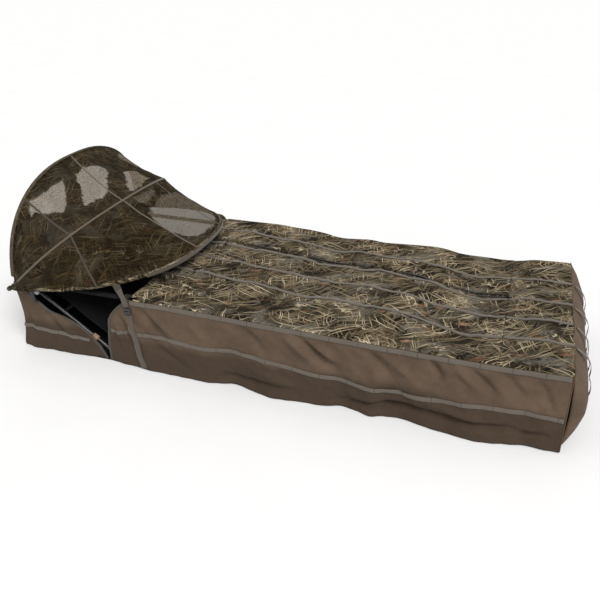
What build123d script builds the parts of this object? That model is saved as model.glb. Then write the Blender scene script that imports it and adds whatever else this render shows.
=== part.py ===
from build123d import *
import os
from math import asin, atan2, copysign, cos, degrees, hypot, pi, radians, sin, tan

# Layout field blind. Millimetres, +Z up, head end at -X, foot end at +X, "near" side at -Y.
# Origin: centre of the underside of the floor panel.

os.makedirs("parts", exist_ok=True)

# Driving dimensions
LENGTH = 2160            # floor panel, head end to foot end
WIDTH = 920              # over the side walls
WALL_TOP = 295           # upper hem of the side walls
FABRIC = 3               # coated fabric with its seam allowance
FOLD_DROP = 140          # travel of the upper frame down towards the base frame
RAIL_R = 9.5             # 19 mm steel tube
RAIL_WALL = 1.2
STRUT_R = 8              # 16 mm steel tube
BOW_R = 5                # 10 mm hood bows
GAP = 0.5                # between pieces that touch on the real object

HALF_L = LENGTH / 2
HALF_W = WIDTH / 2
WALL_INNER = HALF_W - FABRIC
RAIL_Y = 425             # centre of the side rails
STRUT_Y = 447            # centre of the folding struts, outboard of the rails
RAIL_END = 1045          # where the rails plug into their corner elbows
ELBOW_X = 1060           # centre of the elbows and of the end tubes
BASE_Z = FABRIC + RAIL_R + GAP
TOP_Z = 284              # centre of the head rails and of the head end tube
SHOULDER_X = -575        # risers where the head rails step down to the side rails
SIDE_Z = 205             # centre of the side rails, below the slack of the top cloth
FOOT_TOP_Z = 278         # centre of the foot end tube
KNEE_HOOP_X, KNEE_HOOP_Z = 300, 262
DECK_UNDER = 299         # underside of the doors and of the foot cover
DECK_TOP = DECK_UNDER + FABRIC

# Doors
DOOR_HEAD_X = -530       # head end of the doors at the side rails
DOOR_NECK_X = -416       # head end of the doors under the hood's nose
DOOR_FOOT_X = 843
COVER_X = 846            # start of the fixed foot cover
HINGE_Y = 449            # door hinge line
MEET_HEAD_Y = 205        # where the doors meet, at the neck and at the foot cover
MEET_FOOT_Y = 95
MEET_GAP = 5

# How far the top cloth lies below its full height, at places along the blind: near edge,
# middle and far edge
CLOTH_SLACK = [
    (-1083, 0, 0.5, 0),
    (-530, 0, 0.5, 0),
    (-250, 0, 4, 0),
    (-50, 2, 9, 6),
    (80, 4, 15, 22),
    (135, 4, 14, 19),
    (190, 5, 10, 14),
    (340, 8, 4, 15),
    (480, 9, 8, 12),
    (620, 10, 32, 26),
    (720, 10, 40, 28),
    (860, 9, 20, 25),
    (970, 7, 6, 10),
    (1083, 4, 2, 6),
]
MIDDLE_FROM, MIDDLE_TO = -260, 120
# How far the foot of the side walls stands out from their top, at places along the blind
NEAR_FLARE = [(-680, 2), (-500, 19), (-230, 26), (-114, 3), (26, 38), (100, 38), (257, 20), (310, 4),
              (432, 37), (500, 10), (600, 22), (800, 54), (900, 37), (1083, 27)]
FAR_FLARE = [(-680, 10), (-400, 32), (-100, 18), (200, 52), (500, 30), (750, 56), (950, 28), (1083, 12)]
FLARE_MID_Z, FLARE_MID_SHARE = 150, 0.6

# Folding struts: top pins on the rail clamps, lower ends sliding along the base
HEAD_PIN_Z = TOP_Z - 22
SIDE_PIN_Z = SIDE_Z - 22
PIN_R = 4
PIN_FIT = 0.06
STRUT_LOW_Z = 45
HEAD_PIN_X, HEAD_LOW_X = -975, -670
KNEE_PIN_X, KNEE_LOW_X = 200, 440
FOOT_PIN_X, FOOT_LOW_X = 1020, 790

# Hood: three bows on one pivot axis at the head end
PIVOT_X, PIVOT_Z = -1060, 292
BOLT_R = 3
# angle above horizontal, reach, half width, and the two exponents of the superellipse
BACK_BOW = (87.1, 408, 474, 2.5, 2.46)
MID_BOW = (41.9, 379, 487, 2.0, 4.2)
RIM_BOW = (6.8, 623, 509, 2.75, 2.55)
BOW_POINTS = 17
HOOD_START = 40          # the hood fabric starts this far from the pivot axis
HOOD_SKIN = 3
HOOD_LIFT = 2            # clearance of the hood fabric over the bows

# Webbing
WEB_T = 1.5
STRAP_W = 18             # the lengthwise garnish straps on the doors


def save(part, name):
    """Labels a finished piece and writes its STEP file."""
    part.label = name
    export_step(part, f"parts/{name}.step")


def y_plane(y):
    """A plane in X and Z at the given y, whose normal is -Y."""
    return Plane(origin=(0, y, 0), x_dir=(1, 0, 0), z_dir=(0, -1, 0))


def strut_run(pin_x, pin_z, low_x):
    """Length and slope in degrees of a strut from its pin down to its lower end."""
    run, drop = low_x - pin_x, STRUT_LOW_Z - pin_z
    return hypot(run, drop), degrees(atan2(drop, run))


def along(pin_x, pin_z, low_x, share):
    """The x and z of a point on a strut's centre line, at a share of its length from the pin."""
    return pin_x + share * (low_x - pin_x), pin_z + share * (STRUT_LOW_Z - pin_z)


def between(table, x, column=1):
    """A value from a table of places along the blind, on straight lines between its rows."""
    for low, high in zip(table, table[1:]):
        if x <= high[0]:
            share = (x - low[0]) / (high[0] - low[0])
            return low[column] + share * (high[column] - low[column])
    return table[-1][column]


def cloth_slack(x, y):
    """How far the top cloth lies below its full height at a point of its plan."""
    near, middle, far = (between(CLOTH_SLACK, x, column) for column in (1, 2, 3))
    if y < MIDDLE_FROM:
        return near + (y + HALF_W) / (MIDDLE_FROM + HALF_W) * (middle - near)
    if y > MIDDLE_TO:
        return middle + (y - MIDDLE_TO) / (HALF_W - MIDDLE_TO) * (far - middle)
    return middle


def wall_y(x, z, side):
    """How far the outer face of a side wall is from the middle, at a height."""
    top = WALL_TOP - cloth_slack(x, side * HALF_W)
    if z > FLARE_MID_Z:
        share = FLARE_MID_SHARE * (top - z) / (top - FLARE_MID_Z)
    else:
        share = FLARE_MID_SHARE + (1 - FLARE_MID_SHARE) * (FLARE_MID_Z - z) / (FLARE_MID_Z - FABRIC)
    return HALF_W + share * between(NEAR_FLARE if side < 0 else FAR_FLARE, x)


def stations(x0, x1, *tables):
    """The places along the blind where a lofted piece has a section, ends included."""
    inside = {row[0] for table in tables for row in table if x0 + 8 < row[0] < x1 - 8}
    return [x0, *sorted(inside), x1]


def loft_along(places, section):
    """A piece lofted along X, added to the part; section(x) is its outline in Y and Z."""
    cuts = []
    for x in places:
        with BuildSketch(Plane(origin=(x, 0, 0), x_dir=(0, 1, 0), z_dir=(1, 0, 0))) as cut:
            with BuildLine():
                Polyline(*section(x), close=True)
            make_face()
        cuts.append(cut.sketch)
    loft(cuts, ruled=True)


def cloth_section(x, ys, under=DECK_UNDER, thick=FABRIC):
    """The outline of the top cloth across the blind, through points at the given y."""
    low = [(y, under - cloth_slack(x, y)) for y in ys]
    return low + [(y, z + thick) for y, z in reversed(low)]


def strip_along(x0, x1, y_at, width, lift=0.5):
    """A strip of webbing lying lengthwise on the top cloth, added to the part."""
    loft_along(
        stations(x0, x1, CLOTH_SLACK),
        lambda x: cloth_section(
            x, (y_at(x) - width / 2, y_at(x) + width / 2), DECK_TOP + lift, WEB_T
        ),
    )


def bow_plane(angle):
    """The plane of a bow: local X is +Y, and local Y points out from the pivot axis."""
    a = radians(angle)
    return Plane(origin=(PIVOT_X, 0, PIVOT_Z), x_dir=(0, 1, 0), z_dir=(sin(a), 0, -cos(a)))


def bow_curve(bow, grow=0.0, start=0.0, count=BOW_POINTS):
    """Points (y, r) on a bow's superellipse, grown by an offset, from one side to the other."""
    _, reach, half, n, m = bow
    reach, half = reach + grow, half + grow
    first = asin((max(start, 0.0) / reach) ** (m / 2))
    points = []
    for i in range(count):
        t = first + (pi - 2 * first) * i / (count - 1)
        across = -half * copysign(abs(cos(t)) ** (2 / n), cos(t))
        points.append((across, reach * sin(t) ** (2 / m)))
    return points


def corner_radii(points):
    """The largest tangent arcs that fit the corners of a run of points."""
    radii = []
    for a, b, c in zip(points, points[1:], points[2:]):
        one, two = (b[0] - a[0], b[1] - a[1]), (c[0] - b[0], c[1] - b[1])
        cross = one[0] * two[1] - one[1] * two[0]
        turn = abs(atan2(cross, one[0] * two[0] + one[1] * two[1]))
        radii.append(0.45 * min(hypot(*one), hypot(*two)) / tan(turn / 2))
    return radii


def make_bow(name, bow, eye_y):
    """A hood bow: a bent rod with a flat eye at each end, running on the pivot bolts."""
    curve = bow_curve(bow, start=9)
    plane = bow_plane(bow[0])
    with BuildPart() as made:
        with BuildLine(plane) as path:
            FilletPolyline(*curve, radius=corner_radii(curve))
        with BuildSketch(path.line ^ 0):
            Circle(BOW_R)
        sweep()
        for side in (-1, 1):
            with BuildSketch(y_plane(side * eye_y + 4)):
                with Locations((PIVOT_X, PIVOT_Z)):
                    Circle(10)
            extrude(amount=8)
        for side in (-1, 1):
            with BuildSketch(y_plane(side * eye_y + 5)):
                with Locations((PIVOT_X, PIVOT_Z)):
                    Circle(BOLT_R + PIN_FIT)
            extrude(amount=10, mode=Mode.SUBTRACT)
    save(made.part, name)


def make_hood_section(name, upper, lower):
    """A hood panel, taut between two bows, as a thin shell that passes over both."""
    inner = BOW_R + HOOD_LIFT
    with BuildPart() as made:
        for bow, turn in ((upper, -0.15), (lower, 0.15)):
            outside = bow_curve(bow, inner + HOOD_SKIN, HOOD_START)
            inside = bow_curve(bow, inner, HOOD_START)
            with BuildSketch(bow_plane(bow[0] + turn)):
                with BuildLine():
                    Polyline(*outside, *reversed(inside), close=True)
                make_face()
        loft(ruled=True)
    save(made.part, name)


def tube_x(y, z, x0, x1, radius=RAIL_R, wall=RAIL_WALL):
    """A hollow tube along X, added to the part being built."""
    with BuildSketch(Plane(origin=(x0, 0, 0), x_dir=(0, 1, 0), z_dir=(1, 0, 0))) as ring:
        with Locations((y, z)):
            Circle(radius)
            Circle(radius - wall, mode=Mode.SUBTRACT)
    extrude(ring.sketch, amount=x1 - x0)


def tube_y(x, z, half, radius=RAIL_R, wall=RAIL_WALL):
    """A hollow tube along Y, centred on the middle of the blind, added to the part being built."""
    with BuildSketch(y_plane(half)) as ring:
        with Locations((x, z)):
            Circle(radius)
            Circle(radius - wall, mode=Mode.SUBTRACT)
    extrude(ring.sketch, amount=2 * half)


def panel_xz(outline, y_outer):
    """A flat fabric panel drawn in X and Z, one fabric thick, inwards from its outer face."""
    side = copysign(1, y_outer)
    with BuildSketch(y_plane(y_outer if side > 0 else y_outer + FABRIC)) as cut:
        with BuildLine():
            Polyline(*outline, close=True)
        make_face()
    extrude(cut.sketch, amount=FABRIC)


# ---------------------------------------------------------------- base: floor and base frame
with BuildPart() as floor_panel:
    with BuildSketch():
        RectangleRounded(LENGTH, WIDTH, 12)
    extrude(amount=FABRIC)
save(floor_panel.part, "floor_panel")

with BuildPart() as base_rails:
    for side in (-1, 1):
        tube_x(side * RAIL_Y, BASE_Z, -RAIL_END, RAIL_END)
save(base_rails.part, "base_rails")

BASE_TEE_X = 330
with BuildPart() as base_cross_tubes:
    for x in (-ELBOW_X, ELBOW_X):
        tube_y(x, BASE_Z, RAIL_Y - 18)
    tube_y(BASE_TEE_X, BASE_Z, RAIL_Y - 16)
save(base_cross_tubes.part, "base_cross_tubes")


def make_elbows(name, z):
    """Four moulded corner elbows that the rails and the end tubes butt into."""
    with BuildPart() as made:
        with Locations(*[(sx * ELBOW_X, sy * RAIL_Y, z) for sx in (-1, 1) for sy in (-1, 1)]):
            Box(29, 34, 2 * RAIL_R)
        fillet(made.edges().filter_by(Axis.Z), 4)
    save(made.part, name)


make_elbows("base_elbows", BASE_Z)

with BuildPart() as base_tees:
    for side in (-1, 1):
        with BuildSketch(Plane(origin=(BASE_TEE_X - 17, 0, 0), x_dir=(0, 1, 0), z_dir=(1, 0, 0))):
            with Locations((side * RAIL_Y, BASE_Z + 2)):
                RectangleRounded(31, 23, 4)
            with Locations((side * RAIL_Y, BASE_Z)):
                Circle(RAIL_R + 0.2, mode=Mode.SUBTRACT)
        extrude(amount=34)
save(base_tees.part, "base_tees")

with BuildPart() as seat_mat:
    with BuildSketch(Plane.XY.offset(FABRIC + 0.3)):
        with Locations((-140, 0)):
            RectangleRounded(860, 700, 40)
    extrude(amount=14)
    fillet(seat_mat.faces().sort_by(Axis.Z)[-1].edges(), 5)
save(seat_mat.part, "seat_mat")

# ---------------------------------------------------------------- fabric walls
WALL_FOOT = FABRIC
HEAD_WALL = [
    (-HALF_L, WALL_FOOT),
    (-HALF_L, WALL_TOP),
    (-1030, WALL_TOP),
    (-1012, 250),
    (-880, 176),
    (-778, 138),
    (-716, 78),
    (-680, WALL_FOOT),
]
BODY_WALL = [
    (-666, 0),
    (-660, 125),
    (-645, 205),
    (-592, 268),
    (-545, WALL_TOP),
    (-540, WALL_TOP + 20),
    (HALF_L, WALL_TOP + 20),
    (HALF_L, 0),
]


def wall_section(x, side):
    """The outline of a side wall across the blind: it leans out towards the floor."""
    heights = (WALL_FOOT, FLARE_MID_Z, WALL_TOP - cloth_slack(x, side * HALF_W))
    outer = [(side * wall_y(x, z, side), z) for z in heights]
    return outer + [(y - side * FABRIC, z) for y, z in reversed(outer)]


for side, word, flare in ((-1, "near", NEAR_FLARE), (1, "far", FAR_FLARE)):
    with BuildPart() as head_wall:
        panel_xz(HEAD_WALL, side * HALF_W)
    save(head_wall.part, f"{word}_head_wall")
    with BuildPart() as body_wall:
        loft_along(stations(-666, HALF_L, CLOTH_SLACK, flare), lambda x: wall_section(x, side))
        with BuildSketch(y_plane(600)):
            with BuildLine():
                Polyline(*BODY_WALL, close=True)
            make_face()
        extrude(amount=1200, mode=Mode.INTERSECT)
    save(body_wall.part, f"{word}_body_wall")

with BuildPart() as head_end_wall:
    with BuildSketch(Plane.XY.offset(WALL_FOOT)):
        with Locations((-HALF_L + FABRIC / 2, 0)):
            Rectangle(FABRIC, 2 * WALL_INNER)
    extrude(amount=WALL_TOP - WALL_FOOT)
save(head_end_wall.part, "head_end_wall")

FOOT_BULGE = 70          # how far the foot panel swells out at mid height
FOOT_WALL_TOP = 290
with BuildPart() as foot_end_wall:
    with BuildSketch(y_plane(HALF_W)):
        with BuildLine():
            outer_mid = (HALF_L + FOOT_BULGE, 165)
            outside = ThreePointArc((HALF_L + 3, WALL_FOOT), outer_mid, (HALF_L + 3, FOOT_WALL_TOP))
            inner_mid = (HALF_L + FOOT_BULGE - FABRIC, 165)
            inner_ends = (HALF_L + 0.3, WALL_FOOT), (HALF_L + 0.3, FOOT_WALL_TOP)
            inside = ThreePointArc(inner_ends[0], inner_mid, inner_ends[1])
            Line(outside @ 0, inside @ 0)
            Line(outside @ 1, inside @ 1)
        make_face()
    extrude(amount=WIDTH)
save(foot_end_wall.part, "foot_end_wall")

# ---------------------------------------------------------------- upper frame
with BuildPart() as top_rails:
    for side in (-1, 1):
        tube_x(side * RAIL_Y, TOP_Z, -RAIL_END, SHOULDER_X - 15)
save(top_rails.part, "top_rails")

with BuildPart() as side_rails:
    for side in (-1, 1):
        tube_x(side * RAIL_Y, SIDE_Z, SHOULDER_X + 15, RAIL_END)
save(side_rails.part, "side_rails")

with BuildPart() as top_cross_tubes:
    for x, z in ((-ELBOW_X, TOP_Z), (ELBOW_X, FOOT_TOP_Z)):
        tube_y(x, z, RAIL_Y - 18)
save(top_cross_tubes.part, "top_cross_tubes")


def add_posts(x, low, high):
    """A near and a far moulded post between two tube levels, added to the part."""
    with Locations(*[(x, side * RAIL_Y, (low + high) / 2) for side in (-1, 1)]):
        Box(29, 34, high - low + 2 * RAIL_R)


with BuildPart() as top_elbows:
    add_posts(-ELBOW_X, TOP_Z, TOP_Z)
    add_posts(SHOULDER_X, SIDE_Z, TOP_Z)
    add_posts(ELBOW_X, SIDE_Z, FOOT_TOP_Z)
    fillet(top_elbows.edges().filter_by(Axis.Z), 4)
save(top_elbows.part, "top_elbows")


RISER_LOW, RISER_HIGH = SIDE_Z - 13.5, KNEE_HOOP_Z + STRUT_R + 3
with BuildPart() as knee_risers:
    for side in (-1, 1):
        with BuildSketch(Plane(origin=(KNEE_HOOP_X - 17, 0, 0), x_dir=(0, 1, 0), z_dir=(1, 0, 0))):
            with Locations((side * RAIL_Y, (RISER_LOW + RISER_HIGH) / 2)):
                RectangleRounded(31, RISER_HIGH - RISER_LOW, 4)
            with Locations((side * RAIL_Y, SIDE_Z)):
                Circle(RAIL_R + 0.2, mode=Mode.SUBTRACT)
        extrude(amount=34)
save(knee_risers.part, "knee_risers")

with BuildPart() as knee_hoop:
    tube_y(KNEE_HOOP_X, KNEE_HOOP_Z, RAIL_Y - 16, STRUT_R)
save(knee_hoop.part, "knee_hoop")

PINS = ((HEAD_PIN_X, HEAD_PIN_Z), (KNEE_PIN_X, SIDE_PIN_Z), (FOOT_PIN_X, SIDE_PIN_Z))
with BuildPart() as rail_clamps:
    for x, z in PINS:
        for side in (-1, 1):
            with BuildSketch(Plane(origin=(x - 14, 0, 0), x_dir=(0, 1, 0), z_dir=(1, 0, 0))):
                with Locations((side * RAIL_Y, z + 11)):
                    RectangleRounded(27.6, 42, 4)
                with Locations((side * RAIL_Y, z + 22)):
                    Circle(RAIL_R + 0.2, mode=Mode.SUBTRACT)
            extrude(amount=28)
            with BuildSketch(y_plane(side * (RAIL_Y + 5) + 12)):
                with Locations((x, z)):
                    Circle(PIN_R + 0.1)
            extrude(amount=24, mode=Mode.SUBTRACT)
save(rail_clamps.part, "rail_clamps")

with BuildPart() as strut_pins:
    for x, z in PINS:
        for side in (-1, 1):
            with BuildSketch(y_plane(side * 437 + 17)):
                with Locations((x, z)):
                    Circle(PIN_R)
            extrude(amount=34)
            with BuildSketch(y_plane(side * 454.5 + 1)):
                with Locations((x, z)):
                    Circle(PIN_R + 3)
            extrude(amount=2)
save(strut_pins.part, "strut_pins")

HEM_UNDER = WALL_TOP + 2 * GAP
with BuildPart() as hinge_hems:
    for side in (-1, 1):
        loft_along(
            stations(DOOR_HEAD_X, DOOR_FOOT_X, CLOTH_SLACK),
            lambda x: cloth_section(x, (side * (HINGE_Y + 2), side * HALF_W), HEM_UNDER),
        )
save(hinge_hems.part, "hinge_hems")

with BuildPart() as foot_cover:
    loft_along(
        stations(COVER_X, HALF_L + 3, CLOTH_SLACK),
        lambda x: cloth_section(x, (-HALF_W, MIDDLE_FROM, MIDDLE_TO, HALF_W)),
    )
save(foot_cover.part, "foot_cover")

# Lever brackets: a cheek and a bridge over each head strut's pin, outside the arm opening
LEVER_X, LEVER_Z = -994, 276
LEVER_PIN_R = 2.5
CHEEK_OUT = 468
with BuildPart() as lever_brackets:
    for side in (-1, 1):
        with BuildSketch(y_plane(side * (CHEEK_OUT - 3.5) + 3.5)):
            with Locations((-984, 274)):
                RectangleRounded(44, 34, 8)
        extrude(amount=7)
        with Locations((-984, side * 453, 289)):
            Box(36, 26, 4)
        with BuildSketch(y_plane(side * 469 + 6)):
            with Locations((LEVER_X, LEVER_Z)):
                Circle(LEVER_PIN_R)
        extrude(amount=12)
save(lever_brackets.part, "lever_brackets")

for side, word in ((-1, "near"), (1, "far")):
    with BuildPart() as lock_lever:
        with BuildSketch(y_plane(side * 471.5 + 3)):
            with BuildLine():
                Polyline(
                    (LEVER_X - 9, LEVER_Z + 12),
                    (LEVER_X + 9, LEVER_Z + 12),
                    (LEVER_X + 9, LEVER_Z - 8),
                    (LEVER_X + 20, LEVER_Z - 52),
                    (LEVER_X + 8, LEVER_Z - 60),
                    (LEVER_X - 9, LEVER_Z - 12),
                    close=True,
                )
            make_face()
            with Locations((LEVER_X, LEVER_Z)):
                Circle(LEVER_PIN_R + PIN_FIT, mode=Mode.SUBTRACT)
        extrude(amount=6)
    save(lock_lever.part, f"{word}_lock_lever")

# Hood brackets and bolts at the head corners
EYE_Y = {"back": BACK_BOW[2], "mid": MID_BOW[2], "rim": RIM_BOW[2]}
with BuildPart() as hood_brackets:
    for side in (-1, 1):
        with Locations((PIVOT_X, side * 438, 297.5)):
            Box(34, 58, 3.5)
        with BuildSketch(y_plane(side * 464 + 3)):
            with Locations((PIVOT_X, 284)):
                RectangleRounded(34, 30.5, 6)
        extrude(amount=6)
        with BuildSketch(y_plane(side * 464 + 5)):
            with Locations((PIVOT_X, PIVOT_Z)):
                Circle(BOLT_R + 0.05)
        extrude(amount=10, mode=Mode.SUBTRACT)
save(hood_brackets.part, "hood_brackets")

with BuildPart() as hood_pivot_bolts:
    for side in (-1, 1):
        with BuildSketch(y_plane(side * 490 + 28)):
            with Locations((PIVOT_X, PIVOT_Z)):
                Circle(BOLT_R)
        extrude(amount=56)
        with BuildSketch(y_plane(side * 517 + 3)):
            with Locations((PIVOT_X, PIVOT_Z)):
                RegularPolygon(9, 6)
        extrude(amount=6)
save(hood_pivot_bolts.part, "hood_pivot_bolts")

# ---------------------------------------------------------------- folding struts
def add_struts(pin_x, pin_z, low_x):
    """A near and a far strut: a tube with an eye that turns on its rail clamp's pin."""
    length, slope = strut_run(pin_x, pin_z, low_x)
    for side in (-1, 1):
        with BuildSketch(y_plane(side * 447 + 5)) as eye:
            with Locations((pin_x, pin_z)):
                Circle(11)
        extrude(eye.sketch, amount=10)
        a = radians(slope)
        start = (pin_x + 9 * cos(a), side * STRUT_Y, pin_z + 9 * sin(a))
        with BuildSketch(Plane(origin=start, x_dir=(0, 1, 0), z_dir=(cos(a), 0, sin(a)))) as tube:
            Circle(STRUT_R - 0.5)
        extrude(tube.sketch, amount=length - 9)
        with BuildSketch(y_plane(side * 447 + 7)) as hole:
            with Locations((pin_x, pin_z)):
                Circle(PIN_R + PIN_FIT)
        extrude(hole.sketch, amount=14, mode=Mode.SUBTRACT)


STRUTS = (
    ("head", HEAD_PIN_X, HEAD_PIN_Z, HEAD_LOW_X),
    ("knee", KNEE_PIN_X, SIDE_PIN_Z, KNEE_LOW_X),
    ("foot", FOOT_PIN_X, SIDE_PIN_Z, FOOT_LOW_X),
)
for word, *place in STRUTS:
    with BuildPart() as struts:
        add_struts(*place)
    save(struts.part, f"{word}_struts")

BAR_HALF = STRUT_Y - STRUT_R - 0.3
UPPER_SHARE = 0.35       # the upper head bar crosses this far down the head struts
LOWER_SHARE = 0.96
HEAD_BARS = [along(*STRUTS[0][1:], share) for share in (UPPER_SHARE, LOWER_SHARE)]
with BuildPart() as head_bars:
    for x, z in HEAD_BARS:
        tube_y(x, z, BAR_HALF, STRUT_R - 1)
save(head_bars.part, "head_bars")

for word, *place in STRUTS[1:]:
    x, z = along(*place, LOWER_SHARE)
    with BuildPart() as strut_bar:
        tube_y(x, z, BAR_HALF, STRUT_R - 1)
    save(strut_bar.part, f"{word}_bar")

# Back sling, headrest and clips, carried by the head struts
head_length, head_slope = strut_run(*STRUTS[0][1:])
SLOPE = radians(head_slope)


def sling_plane(share, lift):
    """A plane lying on the sling, at a share of the strut's length, raised off the strut line."""
    x, z = along(*STRUTS[0][1:], share)
    normal = (-sin(SLOPE), 0, cos(SLOPE))
    origin = (x + lift * normal[0], 0, z + lift * normal[2])
    return Plane(origin=origin, x_dir=(cos(SLOPE), 0, sin(SLOPE)), z_dir=normal)


SLING_LIFT = STRUT_R - 1 + GAP
with BuildPart() as back_sling:
    with BuildSketch(sling_plane(0.53, SLING_LIFT)):
        RectangleRounded(head_length * 0.9, 800, 15)
    extrude(amount=FABRIC)
save(back_sling.part, "back_sling")

with BuildPart() as headrest_pad:
    with BuildSketch(sling_plane(0.33, SLING_LIFT + FABRIC + 0.3)):
        RectangleRounded(190, 380, 30)
    extrude(amount=40)
    fillet(headrest_pad.faces().sort_by(Axis.Z)[-1].edges(), 12)
save(headrest_pad.part, "headrest_pad")

CLIP_Y = 310
with BuildPart() as bar_clips:
    x, z = HEAD_BARS[0]
    for side in (-1, 1):
        with BuildSketch(y_plane(side * CLIP_Y + 16)):
            with Locations(Location((x + 3 * sin(SLOPE), z - 3 * cos(SLOPE)), head_slope)):
                RectangleRounded(26, 18, 5)
            with Locations((x, z)):
                Circle(STRUT_R - 1 + 0.2, mode=Mode.SUBTRACT)
        extrude(amount=32)
save(bar_clips.part, "bar_clips")

# ---------------------------------------------------------------- hood
make_bow("back_hoop", BACK_BOW, EYE_Y["back"])
make_bow("mid_bow", MID_BOW, EYE_Y["mid"])
make_bow("rim_bow", RIM_BOW, EYE_Y["rim"])
make_hood_section("hood_rear_section", BACK_BOW, MID_BOW)
make_hood_section("hood_front_section", MID_BOW, RIM_BOW)

with BuildPart() as hood_back_panel:
    outline = bow_curve(BACK_BOW, -BOW_R - 3.5, 16)
    with BuildSketch(bow_plane(BACK_BOW[0]).offset(-1)):
        with BuildLine():
            Polyline(*outline, close=True)
        make_face()
    extrude(amount=2)
save(hood_back_panel.part, "hood_back_panel")

# ---------------------------------------------------------------- doors
def meet_y(x):
    """Where the two doors meet, at a place along the blind."""
    share = (x - DOOR_NECK_X) / (DOOR_FOOT_X - DOOR_NECK_X)
    return MEET_HEAD_Y + share * (MEET_FOOT_Y - MEET_HEAD_Y)


NECK_ARC_Y = 390         # the neck edge starts to curve this far from the middle
FLAP_HEAD_X = -556       # the doors run on to here under the hood, as loose flaps
FLAP_SIDE_Y = 440
with BuildPart() as near_door_panel:
    loft_along(
        stations(DOOR_HEAD_X, DOOR_FOOT_X, CLOTH_SLACK),
        lambda x: cloth_section(x, (-HINGE_Y, MIDDLE_FROM, meet_y(x))),
    )
    with BuildSketch():
        with BuildLine():
            Polyline(
                (DOOR_NECK_X, -100),
                (DOOR_NECK_X, meet_y(DOOR_NECK_X)),
                (DOOR_FOOT_X, meet_y(DOOR_FOOT_X)),
                (DOOR_FOOT_X, -HINGE_Y),
                (DOOR_HEAD_X, -HINGE_Y),
                (DOOR_HEAD_X, -NECK_ARC_Y),
            )
            ThreePointArc((DOOR_HEAD_X, -NECK_ARC_Y), (-462, -295), (DOOR_NECK_X, -100))
        make_face()
    extrude(amount=WALL_TOP + 20, mode=Mode.INTERSECT)
save(near_door_panel.part, "near_door_panel")

with BuildPart() as far_door_panel:
    loft_along(
        stations(DOOR_HEAD_X, DOOR_FOOT_X, CLOTH_SLACK),
        lambda x: cloth_section(x, (meet_y(x) + MEET_GAP, HINGE_Y)),
    )
    with BuildSketch():
        with BuildLine():
            Polyline(
                (-428, meet_y(DOOR_NECK_X) + MEET_GAP + 2),
                (DOOR_FOOT_X, meet_y(DOOR_FOOT_X) + MEET_GAP),
                (DOOR_FOOT_X, HINGE_Y),
                (DOOR_HEAD_X, HINGE_Y),
                (DOOR_HEAD_X, NECK_ARC_Y),
            )
            far_neck = (-428, meet_y(DOOR_NECK_X) + MEET_GAP + 2)
            ThreePointArc((DOOR_HEAD_X, NECK_ARC_Y), (-462, 295), far_neck)
        make_face()
    extrude(amount=WALL_TOP + 20, mode=Mode.INTERSECT)
save(far_door_panel.part, "far_door_panel")

with BuildPart() as near_neck_flap:
    loft_along(
        stations(FLAP_HEAD_X, DOOR_NECK_X - GAP, CLOTH_SLACK),
        lambda x: cloth_section(x, (-FLAP_SIDE_Y, MIDDLE_FROM, meet_y(x))),
    )
    with BuildSketch():
        with BuildLine():
            Polyline(
                (DOOR_NECK_X - GAP, -100),
                (DOOR_NECK_X - GAP, meet_y(DOOR_NECK_X)),
                (FLAP_HEAD_X, meet_y(FLAP_HEAD_X)),
                (FLAP_HEAD_X, -FLAP_SIDE_Y),
                (DOOR_HEAD_X - GAP, -FLAP_SIDE_Y),
                (DOOR_HEAD_X - GAP, -NECK_ARC_Y),
            )
            near_ends = (DOOR_HEAD_X - GAP, -NECK_ARC_Y), (DOOR_NECK_X - GAP, -100)
            ThreePointArc(near_ends[0], (-462 - GAP, -295), near_ends[1])
        make_face()
    extrude(amount=WALL_TOP + 20, mode=Mode.INTERSECT)
save(near_neck_flap.part, "near_neck_flap")

with BuildPart() as far_neck_flap:
    loft_along(
        stations(FLAP_HEAD_X, far_neck[0] - GAP, CLOTH_SLACK),
        lambda x: cloth_section(x, (meet_y(x) + MEET_GAP, FLAP_SIDE_Y)),
    )
    with BuildSketch():
        with BuildLine():
            far_end = (far_neck[0] - GAP, far_neck[1])
            Polyline(
                far_end,
                (FLAP_HEAD_X, meet_y(FLAP_HEAD_X) + MEET_GAP),
                (FLAP_HEAD_X, FLAP_SIDE_Y),
                (DOOR_HEAD_X - GAP, FLAP_SIDE_Y),
                (DOOR_HEAD_X - GAP, NECK_ARC_Y),
            )
            ThreePointArc((DOOR_HEAD_X - GAP, NECK_ARC_Y), (-462 - GAP, 295), far_end)
        make_face()
    extrude(amount=WALL_TOP + 20, mode=Mode.INTERSECT)
save(far_neck_flap.part, "far_neck_flap")

ROD_HALF = 4             # half the width of the springy eight-sided stiffener under each door's edge


def rod_section(x, y):
    """The outline of a door's stiffener, just under the cloth."""
    z = DECK_UNDER - cloth_slack(x, y) - ROD_HALF - 1.5
    turns = [radians(22.5 + 45 * i) for i in range(8)]
    return [(y + ROD_HALF * cos(turn), z + ROD_HALF * sin(turn)) for turn in turns]


for word, shift in (("near", -10), ("far", MEET_GAP + 10)):
    with BuildPart() as door_rod:
        loft_along(
            stations(DOOR_NECK_X + 20, DOOR_FOOT_X - 10, CLOTH_SLACK),
            lambda x: rod_section(x, meet_y(x) + shift),
        )
    save(door_rod.part, f"{word}_door_rod")

# ---------------------------------------------------------------- webbing
NEAR_STRAPS = [-40, -195, -350]     # distances from the doors' meeting line
with BuildPart() as near_door_straps:
    for shift in NEAR_STRAPS:
        strip_along(DOOR_NECK_X + 8, DOOR_FOOT_X - 4, lambda x: meet_y(x) + shift, STRAP_W)
save(near_door_straps.part, "near_door_straps")

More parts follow.
